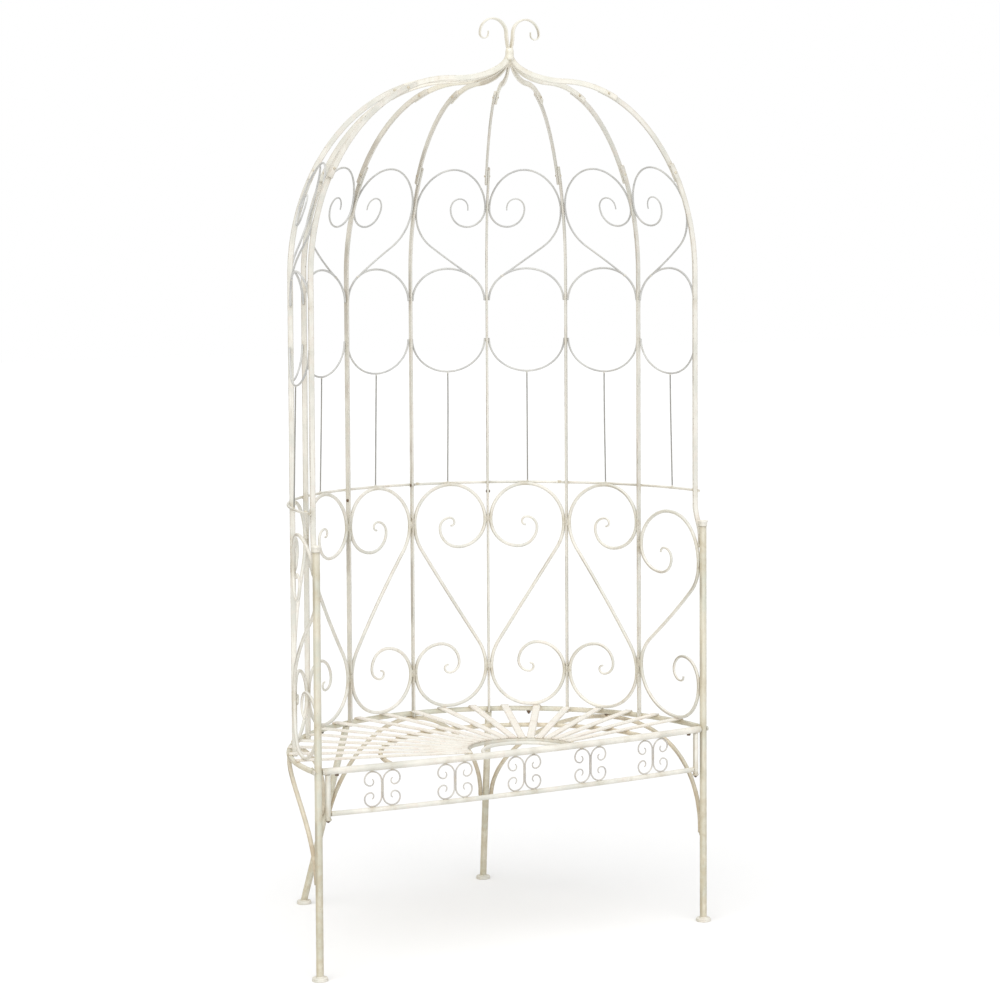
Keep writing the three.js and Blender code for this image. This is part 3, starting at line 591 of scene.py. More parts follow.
def upright_path(index):
    """A straight bar up to the shoulder and on over the dome. The two at the front start on the posts
    and swing back to the circle by half a cosine wave."""
    angle = index * BAY_ANGLE
    dome = dome_stretch(0, turn_at_height(RIB_LAP_HEIGHT + RIB_LAP_LENGTH))
    upper = polar(dome[:, 0], angle, dome[:, 1])
    if 0 < index < BAY_COUNT:
        straight = np.arange(UPRIGHT_FOOT, SHOULDER_HEIGHT, STEP)
        return np.concatenate([polar(BACK_RADIUS, angle, straight), upper])
    height = np.arange(FRONT_FOOT, SHOULDER_HEIGHT, STEP)
    turn = np.clip((height - FRONT_BEND_FOOT) / FRONT_BEND_RISE, 0, 1) * HALF
    share = (1 + np.cos(turn)) / 2
    x = math.copysign(1, math.cos(angle)) * (BACK_RADIUS + POST_OUTSET * share)
    return np.concatenate([np.stack([x, LAP_Y * share, height], -1), upper])


def splice_bolts():
    """Small bolts through three of the back uprights, just above where the scrolls lean on them."""
    parts = []
    for index, height in SPLICE_HEIGHTS.items():
        angle = index * BAY_ANGLE
        parts += through_bolt(polar(BACK_RADIUS, angle, height), -tangent_at(angle), BAR_THICKNESS, 5.5, 2)
    return parts


def rib_path(index):
    """A rib beside its upright: the quarter ellipse from the lower lap to the lap with the arm."""
    angle = index * BAY_ANGLE
    stretch = dome_stretch(turn_at_height(RIB_LAP_HEIGHT), turn_at_radius(ARM_REACH - ARM_LAP_LENGTH))
    return polar(stretch[:, 0], angle, stretch[:, 1], RIB_OFFSET)


def arm_profile():
    """Level at the top of the dome, then an ogee up to the neck: one cubic curve with upright and level
    ends."""
    top = DOME_TOP + NECK_RISE
    pulls = (
        (CROWN_RADIUS, DOME_TOP), (CROWN_RADIUS * (1 - START_PULL_SHARE), DOME_TOP),
        (NECK_RADIUS, top - NECK_RISE * NECK_PULL_SHARE), (NECK_RADIUS, top),
    )
    level = dome_stretch(turn_at_radius(ARM_REACH), QUARTER)
    return np.concatenate([level, pulled(pulls, np.linspace(0, 1, 60)[1:])])


def crown_arms():
    """Nine bars along the arm's profile, each turned to its own angle."""
    profile = arm_profile()
    flat = flat_section(BAR_THICKNESS, BAR_DEPTH)
    angles = [i * BAY_ANGLE for i in range(BAY_COUNT + 1)]
    return [bar(polar(profile[:, 0], a, profile[:, 1]), tangent_at(a), flat, step=3.0) for a in angles]


def hub():
    """The sleeve that holds the arms: a waisted barrel with a rolled lip and a drawn-in head."""
    neck = DOME_TOP + NECK_RISE
    radius = math.hypot(NECK_RADIUS + BAR_DEPTH / 2, BAR_THICKNESS / 2) + HUB_SKIN
    foot, head = neck - HUB_FOOT_DROP, neck + HUB_HEAD_RISE
    profile = [
        [radius - 2.5, foot], [radius - 0.2, foot + 1.2], [radius, foot + 5], [radius - 0.9, foot + 10],
        [radius - 0.2, head - HUB_TAPER], [HUB_HEAD_RADIUS, head - 1.5], [HUB_HEAD_RADIUS - 2, head],
        [2, head],
    ]
    return [turned(rounded(profile, 2.2), [0, 0, 0], UP, 40, uneven=0.45)]


def finial_scroll(sign):
    """A flat bar that leaves the hub, curls over in a half circle and turns back in a small one."""
    hub_head = DOME_TOP + NECK_RISE + HUB_HEAD_RISE
    moves = [(FINIAL_CURL_RADIUS, -HALF), (FINIAL_TIP_RADIUS, -HALF), (FINIAL_TAIL_LENGTH, 0)]
    curl = trace([STEM_SPREAD, hub_head + STEM_RISE], QUARTER, moves)
    pulls = (STEM_FOOT_SPREAD, hub_head - STEM_SINK), (STEM_SPREAD, hub_head + STEM_RISE * 0.55), curl[0]
    outline = np.concatenate([pulled(pulls, np.linspace(0, 1, 16)[:-1]), curl])
    path = np.stack([sign * outline[:, 0], 0 * outline[:, 0], outline[:, 1]], -1)

    def thin_out(run, length):
        """Full size up to the curl, then narrower to the tip as drawn-out iron is."""
        return 1 - 0.6 * np.clip((run / length - 0.4) / 0.6, 0, 1) ** 1.2

    return [bar(path, INWARD, flat_section(FINIAL_DEPTH, FINIAL_THICKNESS), step=2.2, taper=thin_out)]


def half_ring(radius, height, end_y):
    """Half a circle round the dome's axis, and straight on at both ends to a line across the seat."""
    ring = polar(radius, np.linspace(0, HALF, 400), height)
    return np.concatenate([[[radius, end_y, height]], ring, [[-radius, end_y, height]]])


def tie_ring():
    """The ring round the uprights, a little past the front ones at each end."""
    return [bar(half_ring(TIE_RADIUS, TIE_HEIGHT, -BAR_THICKNESS / 2), UP, round_section(TIE_BAR, 12))]


def bay_middles():
    """The angle of each bay's middle."""
    return [(bay + 0.5) * BAY_ANGLE for bay in range(BAY_COUNT)]


def tie_wires():
    """A thin wire up from the ring in each bay, very slightly bent, with a drop of weld at its foot."""
    parts = []
    for middle in bay_middles():
        share = np.linspace(0, 1, 60)
        foot, head = TIE_HEIGHT, LOOP_TOP_HEIGHT - LOOP_DROP
        lean = draw.uniform(-1.3, 1.3)
        sideways = lean * np.sin(share * HALF) * share
        radius = TIE_RADIUS + (BACK_RADIUS + LOOP_OFFSET - TIE_RADIUS) * share
        path = polar(radius, middle, foot + (head - foot) * share, sideways)
        parts.append(bar(path, tangent_at(middle), round_section(TIE_WIRE, 10), uneven=0.1))
    return parts


def half_ellipse(radius, wire, foot, rise):
    """Half an ellipse from upright to upright, up from its foot or, with a rise below nought, down."""
    turn = np.linspace(0, HALF, 70)
    return np.stack([bay_reach(radius, wire) * np.cos(turn), foot + rise * np.sin(turn)], -1)


def tie_loops():
    """The cups at the wires' heads: half an ellipse from upright to upright."""
    radius = BACK_RADIUS + LOOP_OFFSET
    outline = half_ellipse(radius, LOOP_WIRE, LOOP_TOP_HEIGHT, -LOOP_DROP) * [-1, 1]
    paths = [rolled(outline, middle, 1, lambda height: radius + 0 * height) for middle in bay_middles()]
    return [bar(path, outward, round_section(LOOP_WIRE, 12), first=-UP, last=UP) for path in paths]


def half_scroll(half, climb, coil):
    """Half an S from its middle out: a leaning straight, an arc that brings it upright at the side, and
    ever tighter quarter turns over the top and in to the tail."""
    beside, quarters, tail = coil
    rise = climb - half * quarters[0]
    join = half * beside
    reach = math.hypot(rise, join - half)
    lean = math.asin(join / reach) - math.atan2(join - half, rise)
    length = (rise - join * math.sin(lean)) / math.cos(lean)
    turns = [(half * share, QUARTER) for share in quarters]
    return trace([0, 0], QUARTER - lean, [(length, 0), (join, lean), *turns, (half * tail, TAIL_TURN)])


def scroll_taper(run, length):
    """Drawn-out ends: full size until the inner coils, then narrower to each tail."""
    near = np.minimum(run, length - run)
    share = np.clip(near / 230, 0, 1)
    return SCROLL_TIP_SHARE + (1 - SCROLL_TIP_SHARE) * share * (2 - share)


def back_scroll(bay):
    """An S-scroll: its upper half and the same half turned round, rolled on to the cylinder."""
    middle, half, top, coil = scroll_space(bay)
    centre = (top + SCROLL_BOTTOM) / 2
    upper = half_scroll(half, top - centre, coil)
    outline = np.concatenate([-upper[:0:-1], upper]) + [0, centre]
    path = rolled(outline, middle, even_side(bay), lambda h: BACK_RADIUS + 0 * h)
    return [bar(path, outward, round_section(SCROLL_BAR, 14), step=3.0, taper=scroll_taper)]


def half_heart():
    """Half a heart's line: it leaves the arch on a slope, bends upright at the side and curls in."""
    arch_reach = bay_reach(BACK_RADIUS, ARCH_WIRE)
    leave = math.atan(math.tan(HEART_LEAVE) * arch_reach / ARCH_RISE)
    start = np.array([-arch_reach * math.sin(leave), ARCH_FOOT_HEIGHT + ARCH_RISE * math.cos(leave)])
    loop_reach = bay_reach(float(dome_radius(HEART_LOOP_HEIGHT)), HEART_WIRE)
    even_reach = loop_reach - HEART_EVEN_INSET
    turn, slope = QUARTER - HEART_LEAVE, math.tan(HEART_LEAVE)
    join = (HEART_LOOP_HEIGHT - start[1] - (even_reach - start[0]) * slope) / (
        math.sin(turn) - (1 - math.cos(turn)) * slope
    )
    across = even_reach - start[0] - join * (1 - math.cos(turn))
    half = (even_reach + loop_reach) / 2
    moves = [
        (across / math.cos(HEART_LEAVE), 0), (join, turn), (half, HALF),
        (half * HEART_INNER_SHARE, HALF), (half * HEART_CORE_SHARE, HALF), (HEART_TAIL_LENGTH, 0),
    ]
    return trace(start, HEART_LEAVE, moves)


def heart(bay):
    """The arch wire and the half heart on it, rolled on to the dome."""
    middle, sign = bay_middles()[bay], even_side(bay)

    def tip(run, length):
        """Full size, then narrower over the last stretch to the tip."""
        return 1 - 0.35 * np.clip(1 - (length - run) / 120, 0, 1)

    outline = half_ellipse(BACK_RADIUS, ARCH_WIRE, ARCH_FOOT_HEIGHT, ARCH_RISE)
    arch = bar(rolled(outline, middle, sign, dome_radius), outward, round_section(ARCH_WIRE, 12),
               step=3.0, first=UP, last=-UP)
    curl = bar(rolled(half_heart(), middle, sign, dome_radius), outward, round_section(HEART_WIRE, 12),
               step=3.0, taper=tip)
    return [arch, curl]


def front_post(sign):
    """A straight round tube from its foot disc to its cap."""
    x = sign * POST_SPREAD
    path = [[x, -POST_SETBACK, LEG_FOOT], [x, -POST_SETBACK, POST_TOP]]
    return [bar(path, ACROSS, round_section(POST_DIAMETER, 28), step=5.0, uneven=0.12)]


def post_cap(sign):
    """A turned plug: a short neck, a cove out to a rolled lip, and a dished top."""
    neck, lip, high = POST_RADIUS, CAP_DIAMETER / 2, CAP_HEIGHT
    profile = [
        [neck - 1, 0], [neck + 1.5, 0], [neck + 1.7, high * 0.22], [neck + 1.3, high * 0.42],
        [lip - 1.0, high * 0.62], [lip, high * 0.74], [lip, high * 0.92], [lip - 1.1, high],
        [lip - 3.4, high - 0.5], [lip - 5.2, high - 2.2], [1.0, high - 2.6],
    ]
    return [turned(rounded(profile, 1.3), [sign * POST_SPREAD, -POST_SETBACK, POST_TOP + FIT_GAP], UP, 40)]


def leg_place(sign, radius, height):
    """A point in the upright plane that a back leg leans in."""
    return np.array([sign * radius * math.cos(LEG_ANGLE), radius * math.sin(LEG_ANGLE), height])


def back_leg(sign):
    """A straight round tube that leans out from the rim to its foot disc, cut level at both ends."""
    path = np.array([leg_place(sign, LEG_FOOT_RADIUS, LEG_FOOT), leg_place(sign, RIM_RADIUS, LEG_HEAD)])
    side = outward(path[:1])[0]
    return [bar(path, side, round_section(LEG_DIAMETER, 28), step=5.0, first=UP, last=UP, uneven=0.12)]


def foot_places():
    """The middle of each foot disc on the ground."""
    places = {}
    for name, sign in SIDES.items():
        places["front_" + name] = np.array([sign * POST_SPREAD, -POST_SETBACK, 0.0])
        places["back_" + name] = leg_place(sign, LEG_FOOT_RADIUS, 0.0)
    return places


def foot_disc(place):
    """A disc in two layers with a groove between them, flat underneath and soft at the rim."""
    r, h = FOOT_DIAMETER / 2, FOOT_THICKNESS
    profile = [[1, 0], [r - 1.2, 0], [r, 1.0], [r, h * 0.4], [r - 1.3, h * 0.5], [r - 0.5, h * 0.6],
               [r - 0.5, h - 1.3], [r - 1.9, h - 0.2], [LEG_DIAMETER / 2 + 1.6, h], [1, h]]
    return [turned(rounded(profile, 0.7), place, UP, 48)]


def bowed(height, half, count=240):
    """A level line along the circle of the bowed rails."""
    x = np.linspace(-half, half, count)
    return np.stack([x, bow_y(x), np.full(count, float(height))], -1)


def front_rail():
    """A round tube along the bow, from post to post."""
    return [bar(bowed(SEAT_HEIGHT, RAIL_HALF), UP, round_section(RAIL_DIAMETER, 28), step=5.0,
                first=ACROSS, last=ACROSS, uneven=0.12)]


def seat_bolt(sign):
    """The bolt through a post into the rail: its six-sided head."""
    place = [sign * (POST_SPREAD + POST_RADIUS + FIT_GAP - 0.4), -POST_SETBACK, SEAT_HEIGHT]
    axis = ACROSS * sign
    return [hex_head(place, axis, BOLT_HEAD_WIDTH, BOLT_HEAD_HEIGHT + 0.4)]


def seat_rim():
    """Round outside the uprights, and straight on to the backs of the posts."""
    return [bar(half_ring(RIM_RADIUS, SEAT_HEIGHT, POST_BACK + FIT_GAP), UP, round_section(RIM_BAR, 20))]


def hoop(radius, diameter, height):
    """Half a hoop round the middle of the front rail, its ends square on to the back of the rail: they lie
    where its circle meets the back of the rail's circle, found from the sides of the triangle."""
    back_of_rail = RAIL_BOW_RADIUS - RAIL_DIAMETER / 2 - FIT_GAP
    rise = (radius**2 + RAIL_BOW_RADIUS**2 - back_of_rail**2) / (2 * radius * RAIL_BOW_RADIUS)
    angle = np.linspace(math.asin(rise), HALF - math.asin(rise), 300)
    path = polar(radius, angle, height) + [0, RAIL_MIDDLE_Y, 0]
    bow_centre = np.array([0, BOW_CENTRE_Y, height])
    first, last = unit(bow_centre - path[0]), unit(path[-1] - bow_centre)
    return bar(path, UP, round_section(diameter, 18), first=first, last=last)


def slat_ends(index):
    """The line of a slat: out from the inner hoop to the rim, or just short of an upright it would meet."""
    angle = HALF * (index + 1) / (SLAT_COUNT + 1)
    upright = round(angle / BAY_ANGLE) * BAY_ANGLE
    room = (SLAT_WIDTH + BAR_THICKNESS) / 2 + FIT_GAP
    blocked = abs(angle - upright) * BACK_RADIUS < room
    reach = BACK_RADIUS - BAR_DEPTH / 2 - FIT_GAP if blocked else RIM_RADIUS + SLAT_OVERRUN
    level = HOOP_TOP + FIT_GAP + SLAT_THICKNESS / 2
    start = INNER_HOOP_RADIUS - INNER_HOOP_BAR / 2
    inner = [start * math.cos(angle), RAIL_MIDDLE_Y + start * math.sin(angle), level]
    return np.array([inner, polar(reach, angle, level)])


def slat(index):
    """A flat strip with soft edges that dips slightly between the hoops it is welded to."""
    ends = slat_ends(index)
    share = np.linspace(0, 1, 40)[:, None]
    dip = draw.uniform(0.1, 0.35) * np.sin(share * 2 * HALF) ** 2
    path = ends[0] * (1 - share) + ends[1] * share - UP * dip
    return bar(path, UP, flat_section(SLAT_THICKNESS, SLAT_WIDTH, 1.2), step=6.0)


def half_curl(reach, rise):
    """Half an apron curl from its middle up: a straight, ever tighter quarter turns and a short tail."""
    turns = [(reach * share, -QUARTER) for share in ORNAMENT_QUARTERS]
    stem, tail = (rise - turns[0][0], 0), (reach * ORNAMENT_TAIL, -ORNAMENT_TAIL_TURN)
    return trace([0, 0], QUARTER, [stem, *turns, tail], step=1.0)


def ornament_outline():
    """One curl, welded to the lower rail and just clear of the upper one."""
    low = APRON_HEIGHT + APRON_DIAMETER / 2 - WELD_BITE + ORNAMENT_WIRE / 2
    high = SEAT_HEIGHT - RAIL_DIAMETER / 2 - FIT_GAP - ORNAMENT_WIRE / 2
    inset = (ORNAMENT_WIRE - ORNAMENT_OVERLAP) / 2
    upper = half_curl(ORNAMENT_REACH - inset, (high - low) / 2)
    return np.concatenate([upper[:0:-1] * [1, -1], upper]) + [inset, (high + low) / 2]


def ornament_middles():
    """The middles of the apron's curls, evenly spaced."""
    first = APRON_HALF - ORNAMENT_REACH - ORNAMENT_END_ROOM
    return np.linspace(-first, first, ORNAMENT_COUNT)


def ornaments():
    """Each curl and its mirror image, bent to the bow of the rails."""
    outline = ornament_outline()
    parts = []

    def tips(run, length):
        """Full size between the tips, and narrower over the last stretch to each."""
        return 1 - 0.3 * np.clip(1 - np.minimum(run, length - run) / 30, 0, 1)

    for at in ornament_middles():
        for sign in SIDES.values():
            x = at + sign * outline[:, 0]
            path = np.stack([x, bow_y(x), outline[:, 1]], -1)
            parts.append(bar(path, INWARD, round_section(ORNAMENT_WIRE, 10), step=1.6, soft=0.5,
                             taper=tips, uneven=0.1))
    return parts


TUBE_X = POST_SPREAD - POST_RADIUS - APRON_END_GAP - APRON_END_DIAMETER / 2
APRON_HALF = TUBE_X - APRON_END_DIAMETER / 2 - FIT_GAP


def apron_rail():
    """A round bar along the same bow, from end tube to end tube."""
    return [bar(bowed(APRON_HEIGHT, APRON_HALF), UP, round_section(APRON_DIAMETER, 20), step=5.0,
                first=ACROSS, last=ACROSS)]


def apron_end(sign):
    """An upright tube with a collar at its foot, where a bolt comes out."""
    x, y = sign * TUBE_X, float(bow_y(TUBE_X))
    foot, head = APRON_HEIGHT - APRON_END_DROP, SEAT_HEIGHT - RAIL_DIAMETER / 2 - FIT_GAP
    tube = bar([[x, y, foot + 2.4], [x, y, head]], ACROSS, round_section(APRON_END_DIAMETER, 24))
    r = APRON_END_DIAMETER / 2
    collar = [[r - 2, 0], [r + 0.7, 0], [r + 1.2, 1.4], [r + 1.1, 3.4], [r + 0.3, 4.6], [r - 1, 5.2]]
    return [tube, turned(rounded(collar, 0.8), [x, y, foot + 0.6], UP, 28)]


def leg_arch(start, end):
    """Up from one leg to touch the rim and down to the next: angle by a cosine, rise by a sine."""
    top = UPRIGHT_FOOT - FIT_GAP - ARCH_BAR / 2
    turn = np.linspace(0, HALF, 160)
    middle, half = (start[1] + end[1]) / 2, (end[1] - start[1]) / 2
    foot_radius = np.where(turn < QUARTER, start[0], end[0])
    foot_height = np.where(turn < QUARTER, start[2], end[2])
    radius = RIM_RADIUS + (foot_radius - RIM_RADIUS) * (1 - np.sin(turn))
    height = foot_height + (top - foot_height) * np.sin(turn)
    return [bar(polar(radius, middle - half * np.cos(turn), height), outward, round_section(ARCH_BAR, 18))]


def arch_feet():
    """Radius, angle and height where the arches spring, beside the front posts and the back legs."""
    front_y = POST_BACK + FIT_GAP + ARCH_BAR / 2
    front = (math.hypot(POST_SPREAD, front_y), math.atan2(front_y, POST_SPREAD), ARCH_FRONT_FOOT)
    slope = LEG_SPLAY / (LEG_HEAD - LEG_FOOT)
    radius = RIM_RADIUS + slope * (LEG_HEAD - ARCH_BACK_FOOT)
    beside = math.atan2(LEG_DIAMETER / 2 + FIT_GAP + ARCH_BAR / 2, radius)
    near = (radius, LEG_ANGLE - beside, ARCH_BACK_FOOT)
    far = (radius, LEG_ANGLE + beside, ARCH_BACK_FOOT)
    return front, near, far


def mirrored(foot):
    """The same place on the other side of the seat: its angle taken from half a turn."""
    return foot[0], HALF - foot[1], foot[2]


# Welds and fasteners


def scroll_touches():
    """Where each back scroll meets its neighbours: where the first quarter turn of each coil begins and
    where the second one ends."""
    touches = []
    for bay in range(BAY_COUNT):
        middle, half, top, coil = scroll_space(bay)
        reach = even_side(bay) * (half + SCROLL_BAR / 2) / BACK_RADIUS
        for side, share in zip((1, -1), coil[1]):
            touches.append((middle + side * reach, top - half * share))
            touches.append((middle - side * reach, SCROLL_BOTTOM + half * share))
    return touches


def weld_places():
    """Every place where bars are welded: the point, the way the bead runs, the way out, half sizes."""
    welds = []

    def put(size, place, along, out):
        welds.append((*np.array([place, along, out], float), BEADS[size]))

    loop_radius, behind = BACK_RADIUS + LOOP_OFFSET, BACK_RADIUS + BAR_DEPTH / 2 + 0.5
    for angle, height in scroll_touches():
        for way in (-1, 1):
            place = polar(BACK_RADIUS + way * SCROLL_BAR * 0.3, angle, height)
            put("scroll", place, UP, way * tangent_at(angle))
    for index in range(BAY_COUNT + 1):
        angle = index * BAY_ANGLE
        for level, size in ((TIE_HEIGHT - 2, "ring"), (SEAT_HEIGHT - 3, "rim"), (SEAT_HEIGHT + 3, "rim")):
            put(size, polar(behind, angle, level), tangent_at(angle), UP)
        for side in (-1, 1):
            if 0 <= index + (side - 1) / 2 < BAY_COUNT:
                for radius, level in (
                    (loop_radius, LOOP_TOP_HEIGHT - 4), (BACK_RADIUS, ARCH_FOOT_HEIGHT + 4),
                ):
                    place = polar(radius, angle, level, side * (BAR_THICKNESS / 2 + 0.6))
                    put("wire_end", place, UP, polar(1, angle, 0))
    for bay, middle in enumerate(bay_middles()):
        out, beside = polar(1, middle, 0), tangent_at(middle)
        put("wire_foot", polar(TIE_RADIUS, middle, TIE_HEIGHT + TIE_BAR / 2), UP, out)
        put("cup", polar(loop_radius, middle, LOOP_TOP_HEIGHT - LOOP_DROP - 2.4), UP, out)
        put("heart", rolled(half_heart()[:1], middle, even_side(bay), dome_radius)[0], beside, UP)
        if 0 < bay < BAY_COUNT - 1:
            _, half, _, coil = scroll_space(bay)
            top = middle + even_side(bay) * half * (1 - coil[1][0]) / BACK_RADIUS
            place = polar(BACK_RADIUS + SCROLL_BAR * 0.45, top, TIE_HEIGHT - 1)
            put("scroll_top", place, tangent_at(top), UP)
    for start, end in map(slat_ends, range(SLAT_COUNT)):
        way, limit = unit(end - start), np.linalg.norm(end - start)
        for radius, centre_y in (
            (RIM_RADIUS, 0.0), (MID_HOOP_RADIUS, RAIL_MIDDLE_Y), (INNER_HOOP_RADIUS, RAIL_MIDDLE_Y),
        ):
            # Where the slat's line meets the hoop's circle, from the quadratic formula
            from_centre = start[:2] - [0, centre_y]
            ahead = float(from_centre @ way[:2])
            reach = -ahead + math.sqrt(max(ahead * ahead - float(from_centre @ from_centre) + radius**2, 0))
            if reach > limit:
                continue
            for side in (-1, 1):
                spot = start + way * reach + np.cross(UP, way) * side * (SLAT_WIDTH / 2 - 0.4)
                spot[2] = HOOP_TOP + 0.4
                put("slat", spot, way, UP)
    for radius in (MID_HOOP_RADIUS, INNERMOST_HOOP_RADIUS, INNER_HOOP_RADIUS):
        for x in (-radius, radius):
            put("hoop", [x, bow_y(x) + RAIL_DIAMETER / 2 - 0.4, SEAT_HEIGHT + 2], ACROSS, UP)
    outline = ornament_outline()
    lowest, highest = outline[outline[:, 1].argmin()], outline[outline[:, 1].argmax()]
    for at in ornament_middles():
        for sign in SIDES.values():
            for spot, level in ((lowest, lowest[1] - 1.2), (highest, highest[1] + 1.2)):
                x = at + sign * spot[0]
                put("curl", [x, bow_y(x), level], ACROSS, UP)
        put("curl_pair", [at, bow_y(at), (lowest[1] + highest[1]) / 2], UP, INWARD)
    front, near, far = arch_feet()
    for radius, angle, height in (front, near, far, mirrored(near), mirrored(far), mirrored(front)):
        put("arch_foot", polar(radius, angle, height + 6), UP, polar(1, angle, 0))
    for start, end in ((front, near), (far, mirrored(far)), (mirrored(near), mirrored(front))):
        middle = (start[1] + end[1]) / 2
        put("arch_top", polar(RIM_RADIUS + 3, middle, UPRIGHT_FOOT - 0.6), tangent_at(middle), UP)
    for sign in SIDES.values():
        put("leg_head", leg_place(sign, RIM_RADIUS + 4, LEG_HEAD - 0.4), tangent_at(LEG_ANGLE), UP)
        put("rim_end", [sign * (RIM_RADIUS - 3), POST_BACK + 1, SEAT_HEIGHT], UP, ACROSS)
        put("post_lap", [sign * POST_SPREAD, POST_BACK + 0.4, FRONT_FOOT + 6], UP, ACROSS)
        put("rail_end", [sign * (RAIL_HALF - 1), -POST_SETBACK, SEAT_HEIGHT + 5], INWARD, UP)
        put("apron_end", [sign * APRON_HALF, bow_y(APRON_HALF), APRON_HEIGHT + 3.6], INWARD, UP)
    return welds


def weld_beads(low, high):
    """The beads between two heights."""
    return [bead(*weld) for weld in WELDS if low <= weld[0][2] < high]


def collars():
    """Weld all round where a post or leg meets its disc: a low cone with rounded edges."""
    parts = []
    r = LEG_DIAMETER / 2
    for place in foot_places().values():
        profile = [[r - 1, 0], [r + 1.9, 0], [r + 1.3, 1.1], [r + 0.3, 2.6], [r - 0.8, 3.2]]
        foot = place + UP * (FOOT_THICKNESS - 0.3)
        parts.append(turned(rounded(profile, 0.7), foot, UP, 32, uneven=0.5))
    return parts


def lap_bolts():
    """Bolts through the laps of upright and rib, and of rib and arm."""
    parts = []
    for index in range(BAY_COUNT + 1):
        angle = index * BAY_ANGLE
        middle = RIB_LAP_HEIGHT + RIB_LAP_LENGTH / 2
        low = polar(float(dome_radius(middle)), angle, middle, RIB_OFFSET / 2)
        stretch = dome_stretch(turn_at_radius(ARM_REACH - ARM_LAP_LENGTH / 2), QUARTER)
        high = polar(stretch[0, 0], angle, stretch[0, 1], RIB_OFFSET / 2)
        parts += through_bolt(low, tangent_at(angle), 2 * BAR_THICKNESS)
        parts += through_bolt(high, -tangent_at(angle), 2 * BAR_THICKNESS)
    return parts


def hung(place, washer_width, nut_width, nut_height, thread_width, thread_drop, thread_length):
    """What hangs under a joint: a washer, a nut below it, and the bolt's end that leaves the nut."""
    parts = [washer(place, -UP, washer_width)] if washer_width else []
    nut_place = place - UP * (WASHER_DROP if washer_width else 0)
    parts.append(hex_head(nut_place, -UP, nut_width, nut_height))
    if thread_width:
        parts.append(thread_end(place - UP * thread_drop, -UP, thread_width, thread_length))
    return parts


def seat_fixings():
    """Nuts and bolt ends on the arches, at the apron tubes, under the rail's ends and under the rim."""
    far = arch_feet()[2]
    rows = [(polar(*foot) - UP * 0.6, *ARCH_NUT) for foot in (far, mirrored(far))]
    for sign in SIDES.values():
        x, rail_x = sign * TUBE_X, sign * (RAIL_HALF - 34)
        rail_foot = SEAT_HEIGHT - RAIL_DIAMETER / 2 + 0.6
        rows.append((np.array([x, float(bow_y(x)), APRON_HEIGHT - APRON_END_DROP + 0.8]), *TUBE_NUT))
        rows.append((np.array([rail_x, float(bow_y(rail_x)), rail_foot]), *RAIL_NUT))
    for bay in (1, 2, 5, 6):
        place = polar(RIM_RADIUS, bay_middles()[bay], SEAT_HEIGHT - RIM_BAR / 2 + 0.5)
        rows.append((place, *RIM_NUT))
    return [part for row in rows for part in hung(*row)]


def ring_tabs():
    """Small lugs on the ring beside every other upright, each with a rivet."""
    parts = []
    for index in range(0, BAY_COUNT + 1, 2):
        inboard = 1 if index < BAY_COUNT / 2 else -1
        angle = index * BAY_ANGLE + inboard * math.radians(2.2)
        place = polar(TIE_RADIUS - 1.0, angle, TIE_HEIGHT + 1.2)
        inner = -outward(place[None])[0]
        rivet = rounded([[2.6, 0], [2.5, 1.0], [1.4, 2.0], [0.3, 2.3]], 0.7)
        parts.append(bead(place, tangent_at(angle), UP, (6.2, 3.8, 2.6)))
        parts.append(turned(rivet, place + inner * 1.9, inner, 16))
    return parts


WELDS = weld_places()


def stained_places():
    """Points round which the paint is stained, with how far the stain reaches and how strong it is."""
    rows = []
    for place, _, _, size in WELDS:
        strength = draw.uniform(0.05, 0.5) if place[2] > DRY_HEIGHT else draw.uniform(0.4, 0.9)
        rows.append([*place, 5 + 1.2 * max(size), strength])
    for index in range(BAY_COUNT + 1):
        angle = index * BAY_ANGLE
        heights = (SPLICE_HEIGHTS.get(index, TIE_HEIGHT), RIB_LAP_HEIGHT, RIB_LAP_HEIGHT + RIB_LAP_LENGTH)
        for height in heights:
            rows.append([*polar(float(dome_radius(height)), angle, height), 8, draw.uniform(0.1, 0.45)])
        lap = dome_stretch(turn_at_radius(ARM_REACH - ARM_LAP_LENGTH / 2), QUARTER)[0]
        rows.append([*polar(lap[0], angle, lap[1]), 14, draw.uniform(0.1, 0.45)])
    rows += [[*(place + UP * FOOT_THICKNESS), 12, 0.45] for place in foot_places().values()]
    for sign in SIDES.values():
        rows += [
            [sign * POST_SPREAD, -POST_SETBACK, POST_TOP, 8, 0.5],
            [sign * (POST_SPREAD - POST_RADIUS), POST_BACK, SEAT_HEIGHT - 4, 13, 0.95],
            [sign * TUBE_X, float(bow_y(TUBE_X)), APRON_HEIGHT - APRON_END_DROP, 16, 1.0],
        ]
    neck = DOME_TOP + NECK_RISE
    return np.array([*rows, [0, 0, neck - HUB_FOOT_DROP, 35, 0.55], [0, 0, neck + HUB_HEAD_RISE, 16, 0.6]])


STAINS = stained_places()


def stain_at(points):
    """How stained each point is: the strongest of the stains round it, each falling off as a bell curve,
    and of the tan that deepens down the legs."""
    low, high = points.min(0) - 70, points.max(0) + 70
    close = STAINS[((STAINS[:, :3] > low) & (STAINS[:, :3] < high)).all(1)]
    level = LEG_TAN * np.clip((LEG_TAN_HEIGHT - points[:, 2]) / LEG_TAN_FADE, 0, 1)
    level[points[:, 2] < FOOT_THICKNESS + FIT_GAP] = 0
    for x, y, z, reach, strength in close:
        squared = ((points - [x, y, z]) ** 2).sum(1)
        level = np.maximum(level, strength * np.exp(-squared / (2 * reach**2)))
    return level


# Finishes


